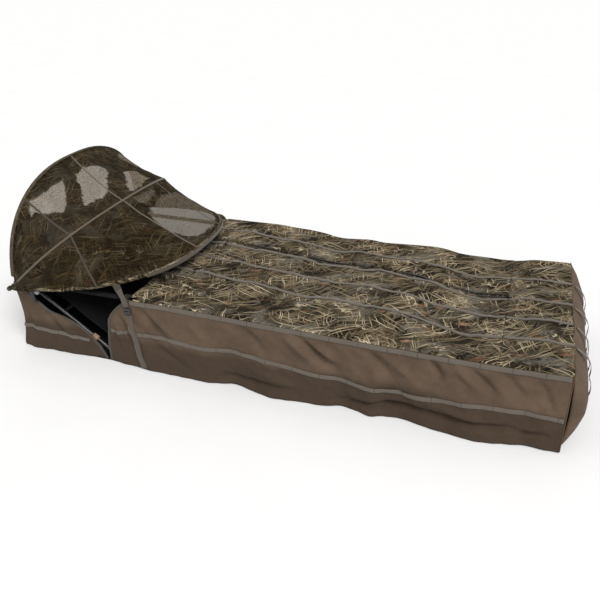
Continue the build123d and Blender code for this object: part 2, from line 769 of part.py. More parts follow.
FAR_STRAP_HEAD_X = DOOR_HEAD_X + 90
FAR_STRAP_HEAD_Y, FAR_STRAP_FOOT_Y = 318, 245
FAR_STRAP_SLOPE = (FAR_STRAP_FOOT_Y - FAR_STRAP_HEAD_Y) / (DOOR_FOOT_X - FAR_STRAP_HEAD_X)
with BuildPart() as far_door_straps:
    strip_along(
        FAR_STRAP_HEAD_X,
        DOOR_FOOT_X - 4,
        lambda x: FAR_STRAP_HEAD_Y + FAR_STRAP_SLOPE * (x - FAR_STRAP_HEAD_X),
        STRAP_W,
    )
save(far_door_straps.part, "far_door_straps")

COVER_STRAP_Y = [meet_y(DOOR_FOOT_X) + shift for shift in NEAR_STRAPS] + [FAR_STRAP_FOOT_Y]
COVER_STRAP_SHIFT = 18   # how far the straps run towards the near side over the foot cover
with BuildPart() as foot_cover_straps:
    for y0 in COVER_STRAP_Y:
        strip_along(
            COVER_X + 4,
            HALF_L - 2,
            lambda x: y0 - COVER_STRAP_SHIFT * (x - COVER_X) / (HALF_L - COVER_X),
            STRAP_W,
        )
save(foot_cover_straps.part, "foot_cover_straps")

SLACK = 14               # how far the slack loops on the foot panel stand off
with BuildPart() as foot_panel_straps:
    for y in COVER_STRAP_Y:
        with BuildSketch(y_plane(y - COVER_STRAP_SHIFT + STRAP_W / 2)):
            with BuildLine():
                high, low = (HALF_L + 20, 288), (HALF_L + 62, 75)
                bow_out = (HALF_L + FOOT_BULGE + SLACK, 190)
                rim = ThreePointArc(high, bow_out, low)
                back = ThreePointArc(
                    (high[0] - WEB_T, high[1]),
                    (bow_out[0] - WEB_T, bow_out[1]),
                    (low[0] - WEB_T, low[1]),
                )
                Line(rim @ 0, back @ 0)
                Line(rim @ 1, back @ 1)
            make_face()
        extrude(amount=STRAP_W)
save(foot_panel_straps.part, "foot_panel_straps")

TOP_BAND_W, MID_BAND_W, HEAD_BAND_W = 19, 16.5, 16
MID_BAND_Z = [(-650, 146), (-610, 147), (-470, 158), (-250, 148), (-40, 152), (270, 122), (580, 112),
              (810, 132), (1078, 127)]
HEAD_BAND_Z = 103


def band_section(x, low, high, side):
    """The outline of an upright band of webbing on a side wall, between two heights."""
    inner = side * (wall_y(x, low, side) + 0.6)
    outer = inner + side * WEB_T
    return [(inner, low), (inner, high), (outer, high), (outer, low)]


for side, word, flare in ((-1, "near", NEAR_FLARE), (1, "far", FAR_FLARE)):
    with BuildPart() as side_straps:
        loft_along(
            stations(-540, HALF_L - 2, CLOTH_SLACK, flare),
            lambda x: band_section(
                x,
                WALL_TOP - cloth_slack(x, side * HALF_W) - TOP_BAND_W - GAP,
                WALL_TOP - cloth_slack(x, side * HALF_W) - GAP,
                side,
            ),
        )
        loft_along(
            stations(-650, HALF_L - 2, CLOTH_SLACK, flare),
            lambda x: band_section(
                x,
                between(MID_BAND_Z, x) - MID_BAND_W / 2,
                between(MID_BAND_Z, x) + MID_BAND_W / 2,
                side,
            ),
        )
        with Locations((-925, side * (HALF_W + 0.3 + WEB_T / 2), HEAD_BAND_Z)):
            Box(300, WEB_T, HEAD_BAND_W)
    save(side_straps.part, f"{word}_side_straps")

# Hold-down straps: from the hood's rim over the corner of the arm opening to the side-release
# buckle on the outside of the wall, and from there to the floor
STRAP_TOP = (-608, 434, 330)
STRAP_BEND = (-566, 467, 301)
STRAP_BUCKLE = (-552, 471.5, 254)
STRAP_FLOOR = (-497, 492, 6)
HOLD_W = 22


def strap_between(start, end, face):
    """A flat strap between two points, added to the part; face is what its flat side looks to."""
    a, b = Vector(*start), Vector(*end)
    run = b - a
    with BuildSketch(Plane(origin=a, x_dir=Vector(*face).cross(run), z_dir=run)) as webbing:
        Rectangle(HOLD_W, WEB_T)
    extrude(webbing.sketch, amount=run.length)


for side, word in ((-1, "near"), (1, "far")):
    top, bend, buckle, floor = (
        (x, side * y, z) for x, y, z in (STRAP_TOP, STRAP_BEND, STRAP_BUCKLE, STRAP_FLOOR)
    )
    with BuildPart() as strap_upper:
        strap_between(top, bend, (0.35, side * 0.5, 0.79))
        strap_between(bend, (buckle[0] - 4, buckle[1], buckle[2] + 18), (0, side, 0))
    save(strap_upper.part, f"{word}_strap_upper")
    with BuildPart() as strap_lower:
        strap_between((buckle[0] + 4, buckle[1], buckle[2] - 18), floor, (0, side, 0))
    save(strap_lower.part, f"{word}_strap_lower")

with BuildPart() as strap_buckles:
    for side in (-1, 1):
        with BuildSketch(y_plane(side * STRAP_BUCKLE[1] + 3)):
            with Locations((STRAP_BUCKLE[0], STRAP_BUCKLE[2])):
                RectangleRounded(30, 26, 4)
                Rectangle(20, 4, mode=Mode.SUBTRACT)
        extrude(amount=6)
save(strap_buckles.part, "strap_buckles")

for word, pin_x, pin_z, low_x in STRUTS:
    length, slope = strut_run(pin_x, pin_z, low_x)
    rest = asin((pin_z - STRUT_LOW_Z) / length)
    folded = asin((pin_z - FOLD_DROP - STRUT_LOW_Z) / length)
    print(word, "struts turn", round(degrees(rest - folded), 3), "deg,",
          "ratio", round((rest - folded) / (FOLD_DROP / 1000), 5))
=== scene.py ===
import math

import bmesh
import bpy
import numpy as np
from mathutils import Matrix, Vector


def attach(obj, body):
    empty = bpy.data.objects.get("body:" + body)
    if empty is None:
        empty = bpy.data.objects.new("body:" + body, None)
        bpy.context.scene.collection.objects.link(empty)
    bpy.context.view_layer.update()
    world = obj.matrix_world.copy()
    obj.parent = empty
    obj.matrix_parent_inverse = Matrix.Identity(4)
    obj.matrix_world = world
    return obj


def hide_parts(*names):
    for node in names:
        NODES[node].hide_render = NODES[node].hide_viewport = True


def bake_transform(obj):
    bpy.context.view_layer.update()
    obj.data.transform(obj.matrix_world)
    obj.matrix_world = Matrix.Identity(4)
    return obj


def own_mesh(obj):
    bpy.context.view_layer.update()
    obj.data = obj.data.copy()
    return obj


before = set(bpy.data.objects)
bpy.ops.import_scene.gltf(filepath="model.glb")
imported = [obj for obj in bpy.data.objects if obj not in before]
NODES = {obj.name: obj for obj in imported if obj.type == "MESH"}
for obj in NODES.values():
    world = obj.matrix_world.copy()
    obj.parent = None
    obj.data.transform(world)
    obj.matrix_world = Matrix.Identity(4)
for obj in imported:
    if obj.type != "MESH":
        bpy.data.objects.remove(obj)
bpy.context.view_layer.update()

# ---- sizes, in metres, as in the CAD
SIDES = ((-1, "near"), (1, "far"))
HALF_L, HALF_W = 1.08, 0.46
WALL_TOP = 0.295
DECK_TOP = 0.3018
FLOOR_TOP = 0.003
DOOR_HEAD_X, DOOR_NECK_X, DOOR_FOOT_X, COVER_X = -0.53, -0.416, 0.8442, 0.8450
HINGE_Y, DOOR_Z = 0.449, 0.30
MEET_HEAD_Y, MEET_FOOT_Y = 0.205, 0.095
PIVOT_X, PIVOT_Z = -1.060, 0.292
BACK_BOW = (87.1, 0.408, 0.474, 2.5, 2.46)
MID_BOW = (41.9, 0.379, 0.487, 2.0, 4.2)
RIM_BOW = (6.8, 0.623, 0.509, 2.75, 2.55)
HOOD_START = 0.04
HOOD_LIFT = 0.0095                    # outer face of the hood fabric over the bows' centre lines

# ---- camera, light and floor
camera = bpy.data.objects.new("camera", bpy.data.cameras.new("camera"))
camera.location = (0.828, -2.475, 1.531)
camera.rotation_euler = (math.radians(62.31), 0, math.radians(18.53))
camera.data.lens = 41.15
camera.data.sensor_width = 36
bpy.context.scene.collection.objects.link(camera)
bpy.context.scene.camera = camera
bpy.context.scene.view_settings.view_transform = "Standard"

world = bpy.data.worlds.new("studio")
bpy.context.scene.world = world
world.use_nodes = True
world.node_tree.nodes["Background"].inputs["Color"].default_value = (1.0, 0.99, 0.975, 1)
world.node_tree.nodes["Background"].inputs["Strength"].default_value = 0.60


def area_light(name, place, target, size, power):
    data = bpy.data.lights.new(name, "AREA")
    data.size, data.energy = size, power
    lamp = bpy.data.objects.new(name, data)
    lamp.location = place
    lamp.rotation_euler = (Vector(target) - Vector(place)).to_track_quat("-Z", "Y").to_euler()
    bpy.context.scene.collection.objects.link(lamp)


area_light("fill", (2.6, -3.4, 2.2), (0.2, 0, 0.2), 2.6, 12)
sun = bpy.data.objects.new("sun", bpy.data.lights.new("sun", "SUN"))
sun.data.energy, sun.data.angle = 2.35, math.radians(28)
sun.rotation_euler = Vector((-0.55, 0.62, -0.95)).to_track_quat("-Z", "Y").to_euler()
bpy.context.scene.collection.objects.link(sun)


# ---- shader helpers
class Shade:
    """A node-based material, built up by short calls. Coordinates are the cloth's own, in metres."""

    def __init__(self, name, coords="flat"):
        self.mat = bpy.data.materials.new(name)
        self.mat.use_nodes = True
        self.tree = self.mat.node_tree
        self.bsdf = self.tree.nodes["Principled BSDF"]
        if coords == "flat":
            source = self.node("ShaderNodeAttribute", attribute_name="flat")
            self.at = source.outputs["Vector"]
        else:
            self.at = self.node("ShaderNodeTexCoord").outputs["Object"]

    def node(self, kind, put=None, **settings):
        made = self.tree.nodes.new(kind)
        for key, value in settings.items():
            setattr(made, key, value)
        for key, value in (put or {}).items():
            self.put(made.inputs[key], value)
        return made

    def put(self, socket, value):
        if isinstance(value, bpy.types.NodeSocket):
            self.tree.links.new(value, socket)
        else:
            socket.default_value = value

    def math(self, operation, a, b=0.0):
        made = self.node("ShaderNodeMath", {0: a, 1: b}, operation=operation)
        return made.outputs[0]

    def times(self, a, b):
        return self.math("MULTIPLY", a, b)

    def mix(self, factor, a, b, blend="MIX"):
        made = self.node("ShaderNodeMix", {0: factor, 6: a, 7: b}, data_type="RGBA", blend_type=blend)
        return made.outputs[2]

    def ramp(self, factor, stops):
        made = self.node("ShaderNodeValToRGB", {"Fac": factor})
        points = made.color_ramp.elements
        for i, (place, colour) in enumerate(stops):
            point = points[i] if i < 2 else points.new(place)
            point.position = place
            point.color = (*colour, 1) if isinstance(colour, tuple) else (colour, colour, colour, 1)
        return made.outputs["Color"]

    def steps(self, value, low, high):
        """0 below low and 1 above high, or the other way round when low is the larger."""
        put = {"Value": value, "From Min": low, "From Max": high}
        made = self.node("ShaderNodeMapRange", put, interpolation_type="SMOOTHSTEP")
        return made.outputs["Result"]

    def moved(self, vector, turn=0.0, size=(1, 1, 1), shift=(0, 0, 0)):
        """The coordinates seen from a frame that is turned, and stretched to a size along its own axes."""
        put = {"Vector": vector, "Location": shift, "Scale": size}
        put["Rotation"] = (0, 0, math.radians(turn))
        return self.node("ShaderNodeMapping", put, vector_type="TEXTURE").outputs["Vector"]

    def noise(self, vector, scale, detail=3.0, rough=0.5, output="Fac"):
        put = {"Vector": vector, "Scale": scale, "Detail": detail, "Roughness": rough}
        return self.node("ShaderNodeTexNoise", put).outputs[output]

    def wave(self, vector, scale, direction):
        put = {"Vector": vector, "Scale": scale}
        made = self.node("ShaderNodeTexWave", put, wave_type="BANDS", bands_direction=direction)
        return made.outputs["Fac"]

    def bent(self, vector, scale, amount):
        """The coordinates pushed about by noise, so that what is drawn with them curves."""
        push = self.noise(vector, scale, 2, output="Color")
        put = {0: push, 1: (0.5, 0.5, 0.5)}
        centred = self.node("ShaderNodeVectorMath", put, operation="SUBTRACT").outputs[0]
        put = {0: centred, "Scale": amount}
        scaled = self.node("ShaderNodeVectorMath", put, operation="SCALE").outputs[0]
        return self.node("ShaderNodeVectorMath", {0: vector, 1: scaled}, operation="ADD").outputs[0]

    def bump(self, height, strength, distance, normal=None):
        put = {"Height": height, "Strength": strength, "Distance": distance}
        if normal is not None:
            put["Normal"] = normal
        return self.node("ShaderNodeBump", put).outputs["Normal"]

    def done(self, colour, roughness, normal=None, metallic=0.0, sheen=0.0, specular=0.5):
        self.put(self.bsdf.inputs["Base Color"], colour)
        self.put(self.bsdf.inputs["Roughness"], roughness)
        if normal is not None:
            self.put(self.bsdf.inputs["Normal"], normal)
        self.bsdf.inputs["Metallic"].default_value = metallic
        self.bsdf.inputs["Sheen Weight"].default_value = sheen
        self.bsdf.inputs["Sheen Roughness"].default_value = 0.5
        self.bsdf.inputs["Specular IOR Level"].default_value = specular
        return self.mat


def tint_by(colour, gain):
    """The same colour, darker or lighter."""
    return tuple(min(c * gain, 1) for c in colour[:3]) + (1,)


def weave_height(shade, vector, pitch):
    """Over and under threads of a plain weave, as a height."""
    across = shade.wave(vector, 0.5 / pitch, "X")
    along = shade.wave(vector, 0.5 / pitch, "Y")
    return shade.math("MAXIMUM", across, along)


def canvas(name, dark, light, shaded_below=False):
    """Coated canvas: mottled, with a fine weave; its lower part may be darkened with painted shade."""
    s = Shade(name)
    mottle = s.noise(s.at, 9, 5, 0.6)
    colour = s.mix(s.steps(mottle, 0.3, 0.72), dark, light)
    streak = s.noise(s.moved(s.at, 12, (0.25, 0.017, 0.25)), 1.0, 4, 0.6)
    colour = s.mix(s.times(streak, 0.22), colour, tint_by(dark, 0.6))
    speck = s.noise(s.at, 420, 2, 0.7)
    colour = s.mix(s.steps(speck, 0.58, 0.8), colour, tint_by(light, 1.5))
    if shaded_below:
        # painted shade: the colour is darkened below about 0.115 to 0.155 m, standing in for the shade on the
        # walls' lower half
        height = s.node("ShaderNodeSeparateXYZ", {0: s.at}).outputs["Y"]
        uneven = s.times(s.math("SUBTRACT", s.noise(s.at, 4, 3), 0.5), 0.05)
        painted_shade_mask = s.steps(s.math("ADD", height, uneven), 0.155, 0.115)
        colour = s.mix(s.times(painted_shade_mask, 0.72), colour, tint_by(dark, 0.48))
    weave = weave_height(s, s.at, 0.0011)
    fine = s.bump(weave, 0.35, 0.0004)
    crease = s.noise(s.moved(s.bent(s.at, 5, 0.08), 55, (1, 0.4, 1)), 9, 5, 0.55)
    normal = s.bump(crease, 0.55, 0.018, fine)
    rough = s.ramp(mottle, [(0.2, 0.78), (0.8, 0.9)])
    return s.done(colour, rough, normal, sheen=0.03, specular=0.15)


def webbing(name, colour, tack=0.0):
    """Woven tape: ribs across it, darker selvedges, and bar tacks where it is sewn down."""
    s = Shade(name)
    parts = s.node("ShaderNodeSeparateXYZ", {0: s.at})
    along, across = parts.outputs["X"], parts.outputs["Y"]
    pitch = 0.0021
    ribs = s.wave(s.at, 0.5 / pitch, "X")
    threads = s.wave(s.at, 0.5 / (pitch * 0.6), "Y")
    mottle = s.noise(s.at, 60, 4, 0.6)
    dark = tint_by(colour, 0.62)
    shade = s.mix(mottle, dark, tint_by(colour, 1.22))
    edge = s.steps(s.math("ABSOLUTE", across), 0.36, 0.5)
    shade = s.mix(s.times(edge, 0.55), shade, dark)
    height = s.math("ADD", s.times(ribs, 0.7), s.times(threads, 0.3))
    if tack:
        share = s.math("FRACT", s.math("DIVIDE", along, tack))
        place = s.math("ABSOLUTE", s.math("SUBTRACT", share, 0.5))
        sewn = s.steps(place, 0.0022 / tack, 0.0008 / tack)
        shade = s.mix(s.times(sewn, 0.75), shade, (0.035, 0.028, 0.022, 1))
        height = s.math("SUBTRACT", height, s.times(sewn, 1.5))
    normal = s.bump(height, 0.5, 0.0006)
    return s.done(shade, s.ramp(mottle, [(0.3, 0.62), (0.7, 0.8)]), normal, sheen=0.2, specular=0.3)


def strokes(s, colour, vector, turn, length, width, size, keep, tints, shift, clump=None):
    """Lays long blades over the colour so far: each is a stretched cell with a tint of its own."""
    laid = s.moved(vector, turn, (length, width, 1), shift)
    cells = s.node("ShaderNodeTexVoronoi", {"Vector": laid, "Scale": 1.0}, voronoi_dimensions="2D")
    chance = s.node("ShaderNodeSeparateColor", {0: cells.outputs["Color"]})
    inside = s.steps(cells.outputs["Distance"], size + 0.04, size - 0.03)
    kept = s.math("LESS_THAN", chance.outputs["Red"], keep)
    if clump is not None:
        kept = s.times(kept, clump)
    tint = s.ramp(chance.outputs["Green"], tints)
    spine = s.steps(cells.outputs["Distance"], 0.0, size)
    tint = s.mix(s.times(spine, 0.45), tint, (0.03, 0.024, 0.015, 1))
    return s.mix(s.times(inside, kept), colour, tint)


def twigs(s, colour, vector, scale, width, tint):
    """Thin wandering twigs, along the middle level of a noise."""
    field = s.noise(s.moved(vector, 35, (1, 1, 1), (3.1, 1.7, 0)), scale, 2, 0.55)
    line = s.math("ABSOLUTE", s.math("SUBTRACT", field, 0.5))
    gaps = s.noise(s.moved(vector, 0, (1, 1, 1), (7, 0, 0)), scale * 0.8, 1)
    shown = s.times(s.steps(line, width, width * 0.4), s.steps(gaps, 0.5, 0.56))
    return s.mix(shown, colour, tint)


STRAW = [(0.0, (0.17, 0.125, 0.062)), (0.5, (0.27, 0.215, 0.125)), (1.0, (0.43, 0.37, 0.26))]
REED = [(0.0, (0.075, 0.058, 0.026)), (0.5, (0.135, 0.107, 0.055)), (1.0, (0.21, 0.17, 0.10))]
RUST = [(0.0, (0.10, 0.050, 0.022)), (0.6, (0.18, 0.095, 0.045)), (1.0, (0.26, 0.16, 0.09))]
MOSS = [(0.0, (0.040, 0.042, 0.018)), (0.6, (0.080, 0.080, 0.038)), (1.0, (0.13, 0.12, 0.07))]
SHADOW = [(0.0, (0.010, 0.008, 0.005)), (1.0, (0.038, 0.029, 0.018))]


def camo(name, gain=1.0, screen=0.0, fine=1.0, inside_shade=0.0):
    """A generic marsh pattern: matted ground, blades that lean many ways, leaves and twigs."""
    s = Shade(name)
    base = s.moved(s.at, 0, (fine, fine, fine)) if fine != 1.0 else s.at
    at = s.bent(s.bent(base, 2.2, 0.12), 9, 0.012)
    patch = s.noise(at, 4.6, 5, 0.62)
    colour = s.ramp(patch, [(0.32, (0.026, 0.020, 0.012)), (0.48, (0.060, 0.048, 0.030)),
                            (0.58, (0.110, 0.095, 0.072)), (0.72, (0.21, 0.192, 0.160))])
    for turn, shift in ((31, 0), (-38, 2), (78, 5)):
        mat = s.noise(s.moved(at, turn, (1, 0.11, 1), (shift, shift, 0)), 30, 5, 0.72)
        colour = s.mix(s.times(s.steps(mat, 0.52, 0.36), 0.75), colour, (0.017, 0.013, 0.008, 1))
        colour = s.mix(s.times(s.steps(mat, 0.58, 0.72), 0.55), colour, (0.22, 0.18, 0.115, 1))
    thick = s.steps(s.noise(at, 6.0, 2), 0.42, 0.52)
    thin = s.steps(s.noise(s.moved(at, 0, (1, 1, 1), (9, 4, 0)), 7.5, 2), 0.44, 0.56)
    under = [
        (at, 52, 0.24, 0.024, 0.32, 0.40, SHADOW, (3, 1, 0)),
        (at, -30, 0.22, 0.014, 0.30, 0.40, MOSS, (1, 5, 0), thin),
        (at, 84, 0.16, 0.010, 0.30, 0.45, REED, (9, 2, 0)),
        (at, 38, 0.26, 0.008, 0.28, 0.60, REED, (5, 5, 0)),
        (s.bent(base, 18, 0.03), 15, 0.075, 0.030, 0.33, 0.13, RUST, (2, 8, 0)),
        (at, -58, 0.20, 0.0075, 0.27, 0.45, REED, (4, 0, 0)),
        (at, 66, 0.24, 0.012, 0.27, 0.40, SHADOW, (6, 3, 0)),
    ]
    over = [
        (at, 25, 0.21, 0.0065, 0.27, 0.55, STRAW, (8, 4, 0), thin),
        (at, 47, 0.25, 0.0060, 0.26, 0.60, STRAW, (0, 7, 0), thick),
        (s.bent(base, 7, 0.06), 108, 0.17, 0.0058, 0.27, 0.40, STRAW, (7, 7, 0), thick),
        (s.bent(base, 5, 0.09), -22, 0.30, 0.0080, 0.22, 0.30, STRAW, (2, 2, 0)),
    ]
    for blades in under:
        colour = strokes(s, colour, *blades)
    mud = s.noise(s.moved(at, 15, (1, 0.6, 1), (4, 9, 0)), 5.5, 4, 0.6)
    grit = s.noise(s.moved(base, 24, (1, 0.4, 1)), 60, 4, 0.7)
    clay = s.ramp(grit, [(0.3, (0.055, 0.049, 0.038)), (0.7, (0.20, 0.185, 0.155))])
    colour = s.mix(s.times(s.steps(mud, 0.53, 0.60), 0.85), colour, clay)
    for blades in over:
        colour = strokes(s, colour, *blades)
    colour = twigs(s, colour, base, 9, 0.009, (0.30, 0.255, 0.18, 1))
    colour = s.node("ShaderNodeGamma", {"Color": colour, "Gamma": 1.5}).outputs[0]
    put = {"Color": colour, "Saturation": 1.0 if screen else 0.80}
    colour = s.node("ShaderNodeHueSaturation", put).outputs[0]
    worn = s.noise(base, 2.6, 3)
    shade = s.ramp(worn, [(0.25, 0.80), (0.75, 1.0)])
    colour = s.mix(1.0, colour, shade, "MULTIPLY")
    put = {0: colour, "Scale": 2.80 * gain}
    lift = s.node("ShaderNodeVectorMath", put, operation="SCALE").outputs[0]
    # painted shade: a share of dark brown is mixed in, for the dark inside of the blind showing through the
    # hood's mesh
    colour = s.mix(inside_shade, lift, (0.019, 0.0135, 0.0068, 1))
    weave = weave_height(s, s.at, 0.0012)
    normal = s.bump(weave, 0.35, 0.0004)
    if not screen:
        # painted shade in the valley where the two doors meet
        place = s.node("ShaderNodeSeparateXYZ", {0: s.at})
        slope = (MEET_FOOT_Y - MEET_HEAD_Y) / (DOOR_FOOT_X - DOOR_NECK_X)
        start = MEET_HEAD_Y - slope * DOOR_NECK_X
        line = s.math("ADD", s.times(place.outputs["X"], slope), start)
        off = s.math("ABSOLUTE", s.math("SUBTRACT", place.outputs["Y"], line))
        uneven = s.times(s.noise(s.at, 6, 2), 0.022)
        off = s.steps(s.math("SUBTRACT", off, uneven), 0.014, -0.006)
        meet_shade_mask = s.times(s.times(off, 0.80), s.steps(place.outputs["X"], 0.80, 0.55))
        colour = s.mix(meet_shade_mask, colour, (0.013, 0.010, 0.007, 1))
        soft = s.noise(s.at, 18, 3)
        normal = s.bump(soft, 0.35, 0.007, normal)
        return s.done(colour, 0.88, normal, specular=0.1)
    # the windows: unprinted mesh that the light comes through
    window = s.node("ShaderNodeAttribute", attribute_name="window").outputs["Fac"]
    rag = s.noise(s.at, 34, 3, 0.6)
    ragged = s.math("ADD", window, s.times(s.math("SUBTRACT", rag, 0.5), 0.045))
    open_mesh = s.steps(ragged, -0.004, 0.006)
    fleck = s.noise(s.moved(s.bent(s.at, 6, 0.05), 55, (1, 0.35, 1)), 90, 5, 0.78)
    pale = s.ramp(fleck, [(0.34, (0.05, 0.040, 0.026)), (0.47, (0.15, 0.122, 0.086)),
                          (0.56, (0.24, 0.20, 0.148)), (0.72, (0.36, 0.31, 0.24))])
    branch = s.noise(s.moved(s.bent(s.at, 4, 0.08), -25, (1, 0.22, 1)), 16, 3, 0.6)
    pale = s.mix(s.times(s.steps(branch, 0.60, 0.66), 0.75), pale, (0.05, 0.04, 0.028, 1))
    open_mesh = s.times(open_mesh, screen)
    colour = s.mix(s.times(open_mesh, 0.92), colour, pale)
    s.done(colour, 0.9, normal, specular=0.04)
    holes = s.math("ADD", 0.04, s.times(open_mesh, s.steps(fleck, 0.70, 0.40)))
    alpha = s.math("SUBTRACT", 1.0, s.times(holes, 0.30))
    s.put(s.bsdf.inputs["Alpha"], alpha)
    return s.mat


def screen_cloth(name):
    """Open black-brown mesh for the back of the hood."""
    s = Shade(name)
    weave = weave_height(s, s.at, 0.0018)
    blotch = s.noise(s.bent(s.at, 5, 0.1), 7, 4, 0.6)
    colour = s.ramp(blotch, [(0.35, (0.035, 0.028, 0.018)), (0.55, (0.10, 0.082, 0.055)),
                             (0.7, (0.22, 0.19, 0.15))])
    s.done(colour, 0.85, s.bump(weave, 0.4, 0.0005), sheen=0.05, specular=0.15)
    open_part = s.times(s.steps(blotch, 0.5, 0.65), 0.22)
    s.put(s.bsdf.inputs["Alpha"], s.math("SUBTRACT", 0.62, open_part))
    return s.mat


def hard(name, dark, light, rough, metallic=0.0, grain=900, height=0.0002, wear=None, specular=0.5):
    """Painted metal, rod or moulded plastic: fine grain, slight mottling, wear in patches."""
    s = Shade(name, "object")
    mottle = s.noise(s.at, 35, 4, 0.6)
    colour = s.mix(s.steps(mottle, 0.35, 0.65), dark, light)
    if wear:
        scuff = s.noise(s.moved(s.at, 20, (1, 1, 2.5)), 120, 5, 0.7)
        colour = s.mix(s.steps(scuff, 0.66, 0.72), colour, wear)
    fine = s.noise(s.at, grain, 2)
    normal = s.bump(fine, 0.4, height)
    gloss = s.noise(s.at, 60, 3)
    shine = s.ramp(gloss, [(0.3, rough * 0.8), (0.7, min(rough * 1.25, 1))])
    return s.done(colour, shine, normal, metallic=metallic, specular=specular)


BROWN = canvas("brown canvas", (0.084, 0.056, 0.037, 1), (0.122, 0.082, 0.055, 1))
# side walls: the same canvas with painted shade over its lower part
WALL = canvas("brown canvas, soiled", (0.086, 0.058, 0.039, 1), (0.124, 0.085, 0.058, 1), shaded_below=True)
LINING = canvas("black lining", (0.0045, 0.0045, 0.005, 1), (0.008, 0.008, 0.009, 1))
CAMO = camo("marsh print")
# the hood's print is darkened by a low gain and the dark brown mix: painted shade of the dark inside showing
# through the mesh
HOOD = camo("marsh mesh", 0.36, 1.0, 0.62, 0.45)
NOSE = camo("marsh mesh, front", 0.36, 0.44, 0.62, 0.45)
TAPE = webbing("taupe webbing", (0.130, 0.108, 0.084, 1))
TACK_PITCH = 0.105                    # from one row of stitches to the next along the wall bands
TACKED = webbing("taupe webbing sewn", (0.122, 0.101, 0.079, 1), tack=TACK_PITCH)
DARK_TAPE = webbing("dark tape", (0.050, 0.040, 0.028, 1))
HOLD_TAPE = webbing("brown webbing", (0.088, 0.070, 0.053, 1))
SEAM_TAPE = webbing("seam tape", (0.115, 0.090, 0.060, 1))
TAN_TAPE = webbing("tan tape", (0.33, 0.20, 0.11, 1))
SCREEN = screen_cloth("back mesh")
STEEL = hard("black enamel", (0.012, 0.012, 0.013, 1), (0.022, 0.022, 0.024, 1), 0.28,
             wear=(0.10, 0.10, 0.10, 1))
MATTE = hard("matte sleeve", (0.006, 0.006, 0.007, 1), (0.010, 0.010, 0.011, 1), 0.8, specular=0.15)
ROD = hard("bow rod", (0.020, 0.017, 0.012, 1), (0.035, 0.030, 0.022, 1), 0.42)
BRIGHT = hard("bright zinc", (0.42, 0.42, 0.41, 1), (0.60, 0.60, 0.58, 1), 0.32, metallic=1.0)
MOULDED = hard("moulded black", (0.016, 0.016, 0.017, 1), (0.028, 0.028, 0.029, 1), 0.45, grain=400,
               height=0.0005)
GREY_MOULDED = hard("moulded grey", (0.30, 0.31, 0.31, 1), (0.42, 0.43, 0.42, 1), 0.4, grain=400,
                    height=0.0004)


# ---- shape helpers
def curve(points):
    """A smooth function through (x, y) points, flat beyond both ends."""
    xs, ys = (np.array(c, float) for c in zip(*points))
    slope = np.gradient(ys, xs)

    def at(x):
        x = np.clip(np.asarray(x, float), xs[0], xs[-1])
        i = np.clip(np.searchsorted(xs, x) - 1, 0, len(xs) - 2)
        h = xs[i + 1] - xs[i]
        t = (x - xs[i]) / h
        a, b = ys[i] + 0 * t, ys[i + 1] + 0 * t
        m, n = slope[i] * h, slope[i + 1] * h
        ends = a * (2 * t**3 - 3 * t**2 + 1) + b * (3 * t**2 - 2 * t**3)
        return ends + m * (t**3 - 2 * t**2 + t) + n * (t**3 - t**2)

    return at


def ease(t):
    t = np.clip(t, 0, 1)
    return t * t * (3 - 2 * t)


def hollow(gap, wide):
    """1 on a line and falling away to nothing some way off it."""
    return np.exp(-((gap / wide) ** 2))


def grid(rows, columns, u_ends=(0, 1), v_ends=(0, 1)):
    """Two arrays of the same shape, one running down the rows and one along the columns."""
    return np.meshgrid(np.linspace(*u_ends, rows), np.linspace(*v_ends, columns), indexing="ij")


def xyz(*parts):
    """Coordinates put together as the last axis, each spread over the others' shape."""
    return np.stack(np.broadcast_arrays(*parts), -1)


RIPPLE_WAVES = 9


def ripple(u, v, size, seed):
    """Smooth seeded unevenness of about -1 to 1, with features about size apart."""
    rng = np.random.RandomState(seed)
    total = 0.0
    for _ in range(RIPPLE_WAVES):
        turn, phase, scale = rng.uniform(0, math.pi), rng.uniform(0, 2 * math.pi), rng.uniform(0.7, 1.6)
        k = 2 * math.pi / (size * scale)
        total = total + np.sin(k * (u * math.cos(turn) + v * math.sin(turn)) + phase)
    return total / math.sqrt(RIPPLE_WAVES)


def grid_mesh(name, points, flat, masks=None, flip=False):
    """A mesh from a grid of points (rows, columns, 3), with the cloth's own coordinates kept on it."""
    rows, columns = points.shape[:2]
    index = np.arange(rows * columns).reshape(rows, columns)
    faces = np.stack([index[:-1, :-1], index[1:, :-1], index[1:, 1:], index[:-1, 1:]], -1).reshape(-1, 4)
    faces = faces[:, ::-1] if flip else faces
    mesh = bpy.data.meshes.new(name)
    mesh.from_pydata(points.reshape(-1, 3).tolist(), [], faces.tolist())
    kept = mesh.attributes.new("flat", "FLOAT_VECTOR", "POINT")
    coords = np.zeros((rows * columns, 3), np.float32)
    coords[:, :2] = flat.reshape(-1, 2)
    kept.data.foreach_set("vector", coords.ravel())
    for key, values in (masks or {}).items():
        mask = mesh.attributes.new(key, "FLOAT", "POINT")
        mask.data.foreach_set("value", values.astype(np.float32).ravel())
    mesh.polygons.foreach_set("use_smooth", [True] * len(mesh.polygons))
    made = bpy.data.objects.new(name, mesh)
    bpy.context.scene.collection.objects.link(made)
    return made


def dress(obj, material, thick=0.0, inner=None, body=None, fold=False):
    """Gives a piece its thickness and its material, and has it ride with a body; with fold it gets its own
    mesh and rides with the root.
    """
    obj.data.materials.append(material)
    if thick:
        solid = obj.modifiers.new("thickness", "SOLIDIFY")
        solid.thickness, solid.offset = thick, -1
        solid.use_even_offset = False
        if inner is not None:
            obj.data.materials.append(inner)
            solid.material_offset = 1
    if fold:
        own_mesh(obj)
        body = "root"
    if body:
        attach(obj, body)
    return obj


def stands_for(obj, node, flat, rests_on, **more):
    """Has a cloth stand in for a CAD node, by hiding the node."""
    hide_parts(node)


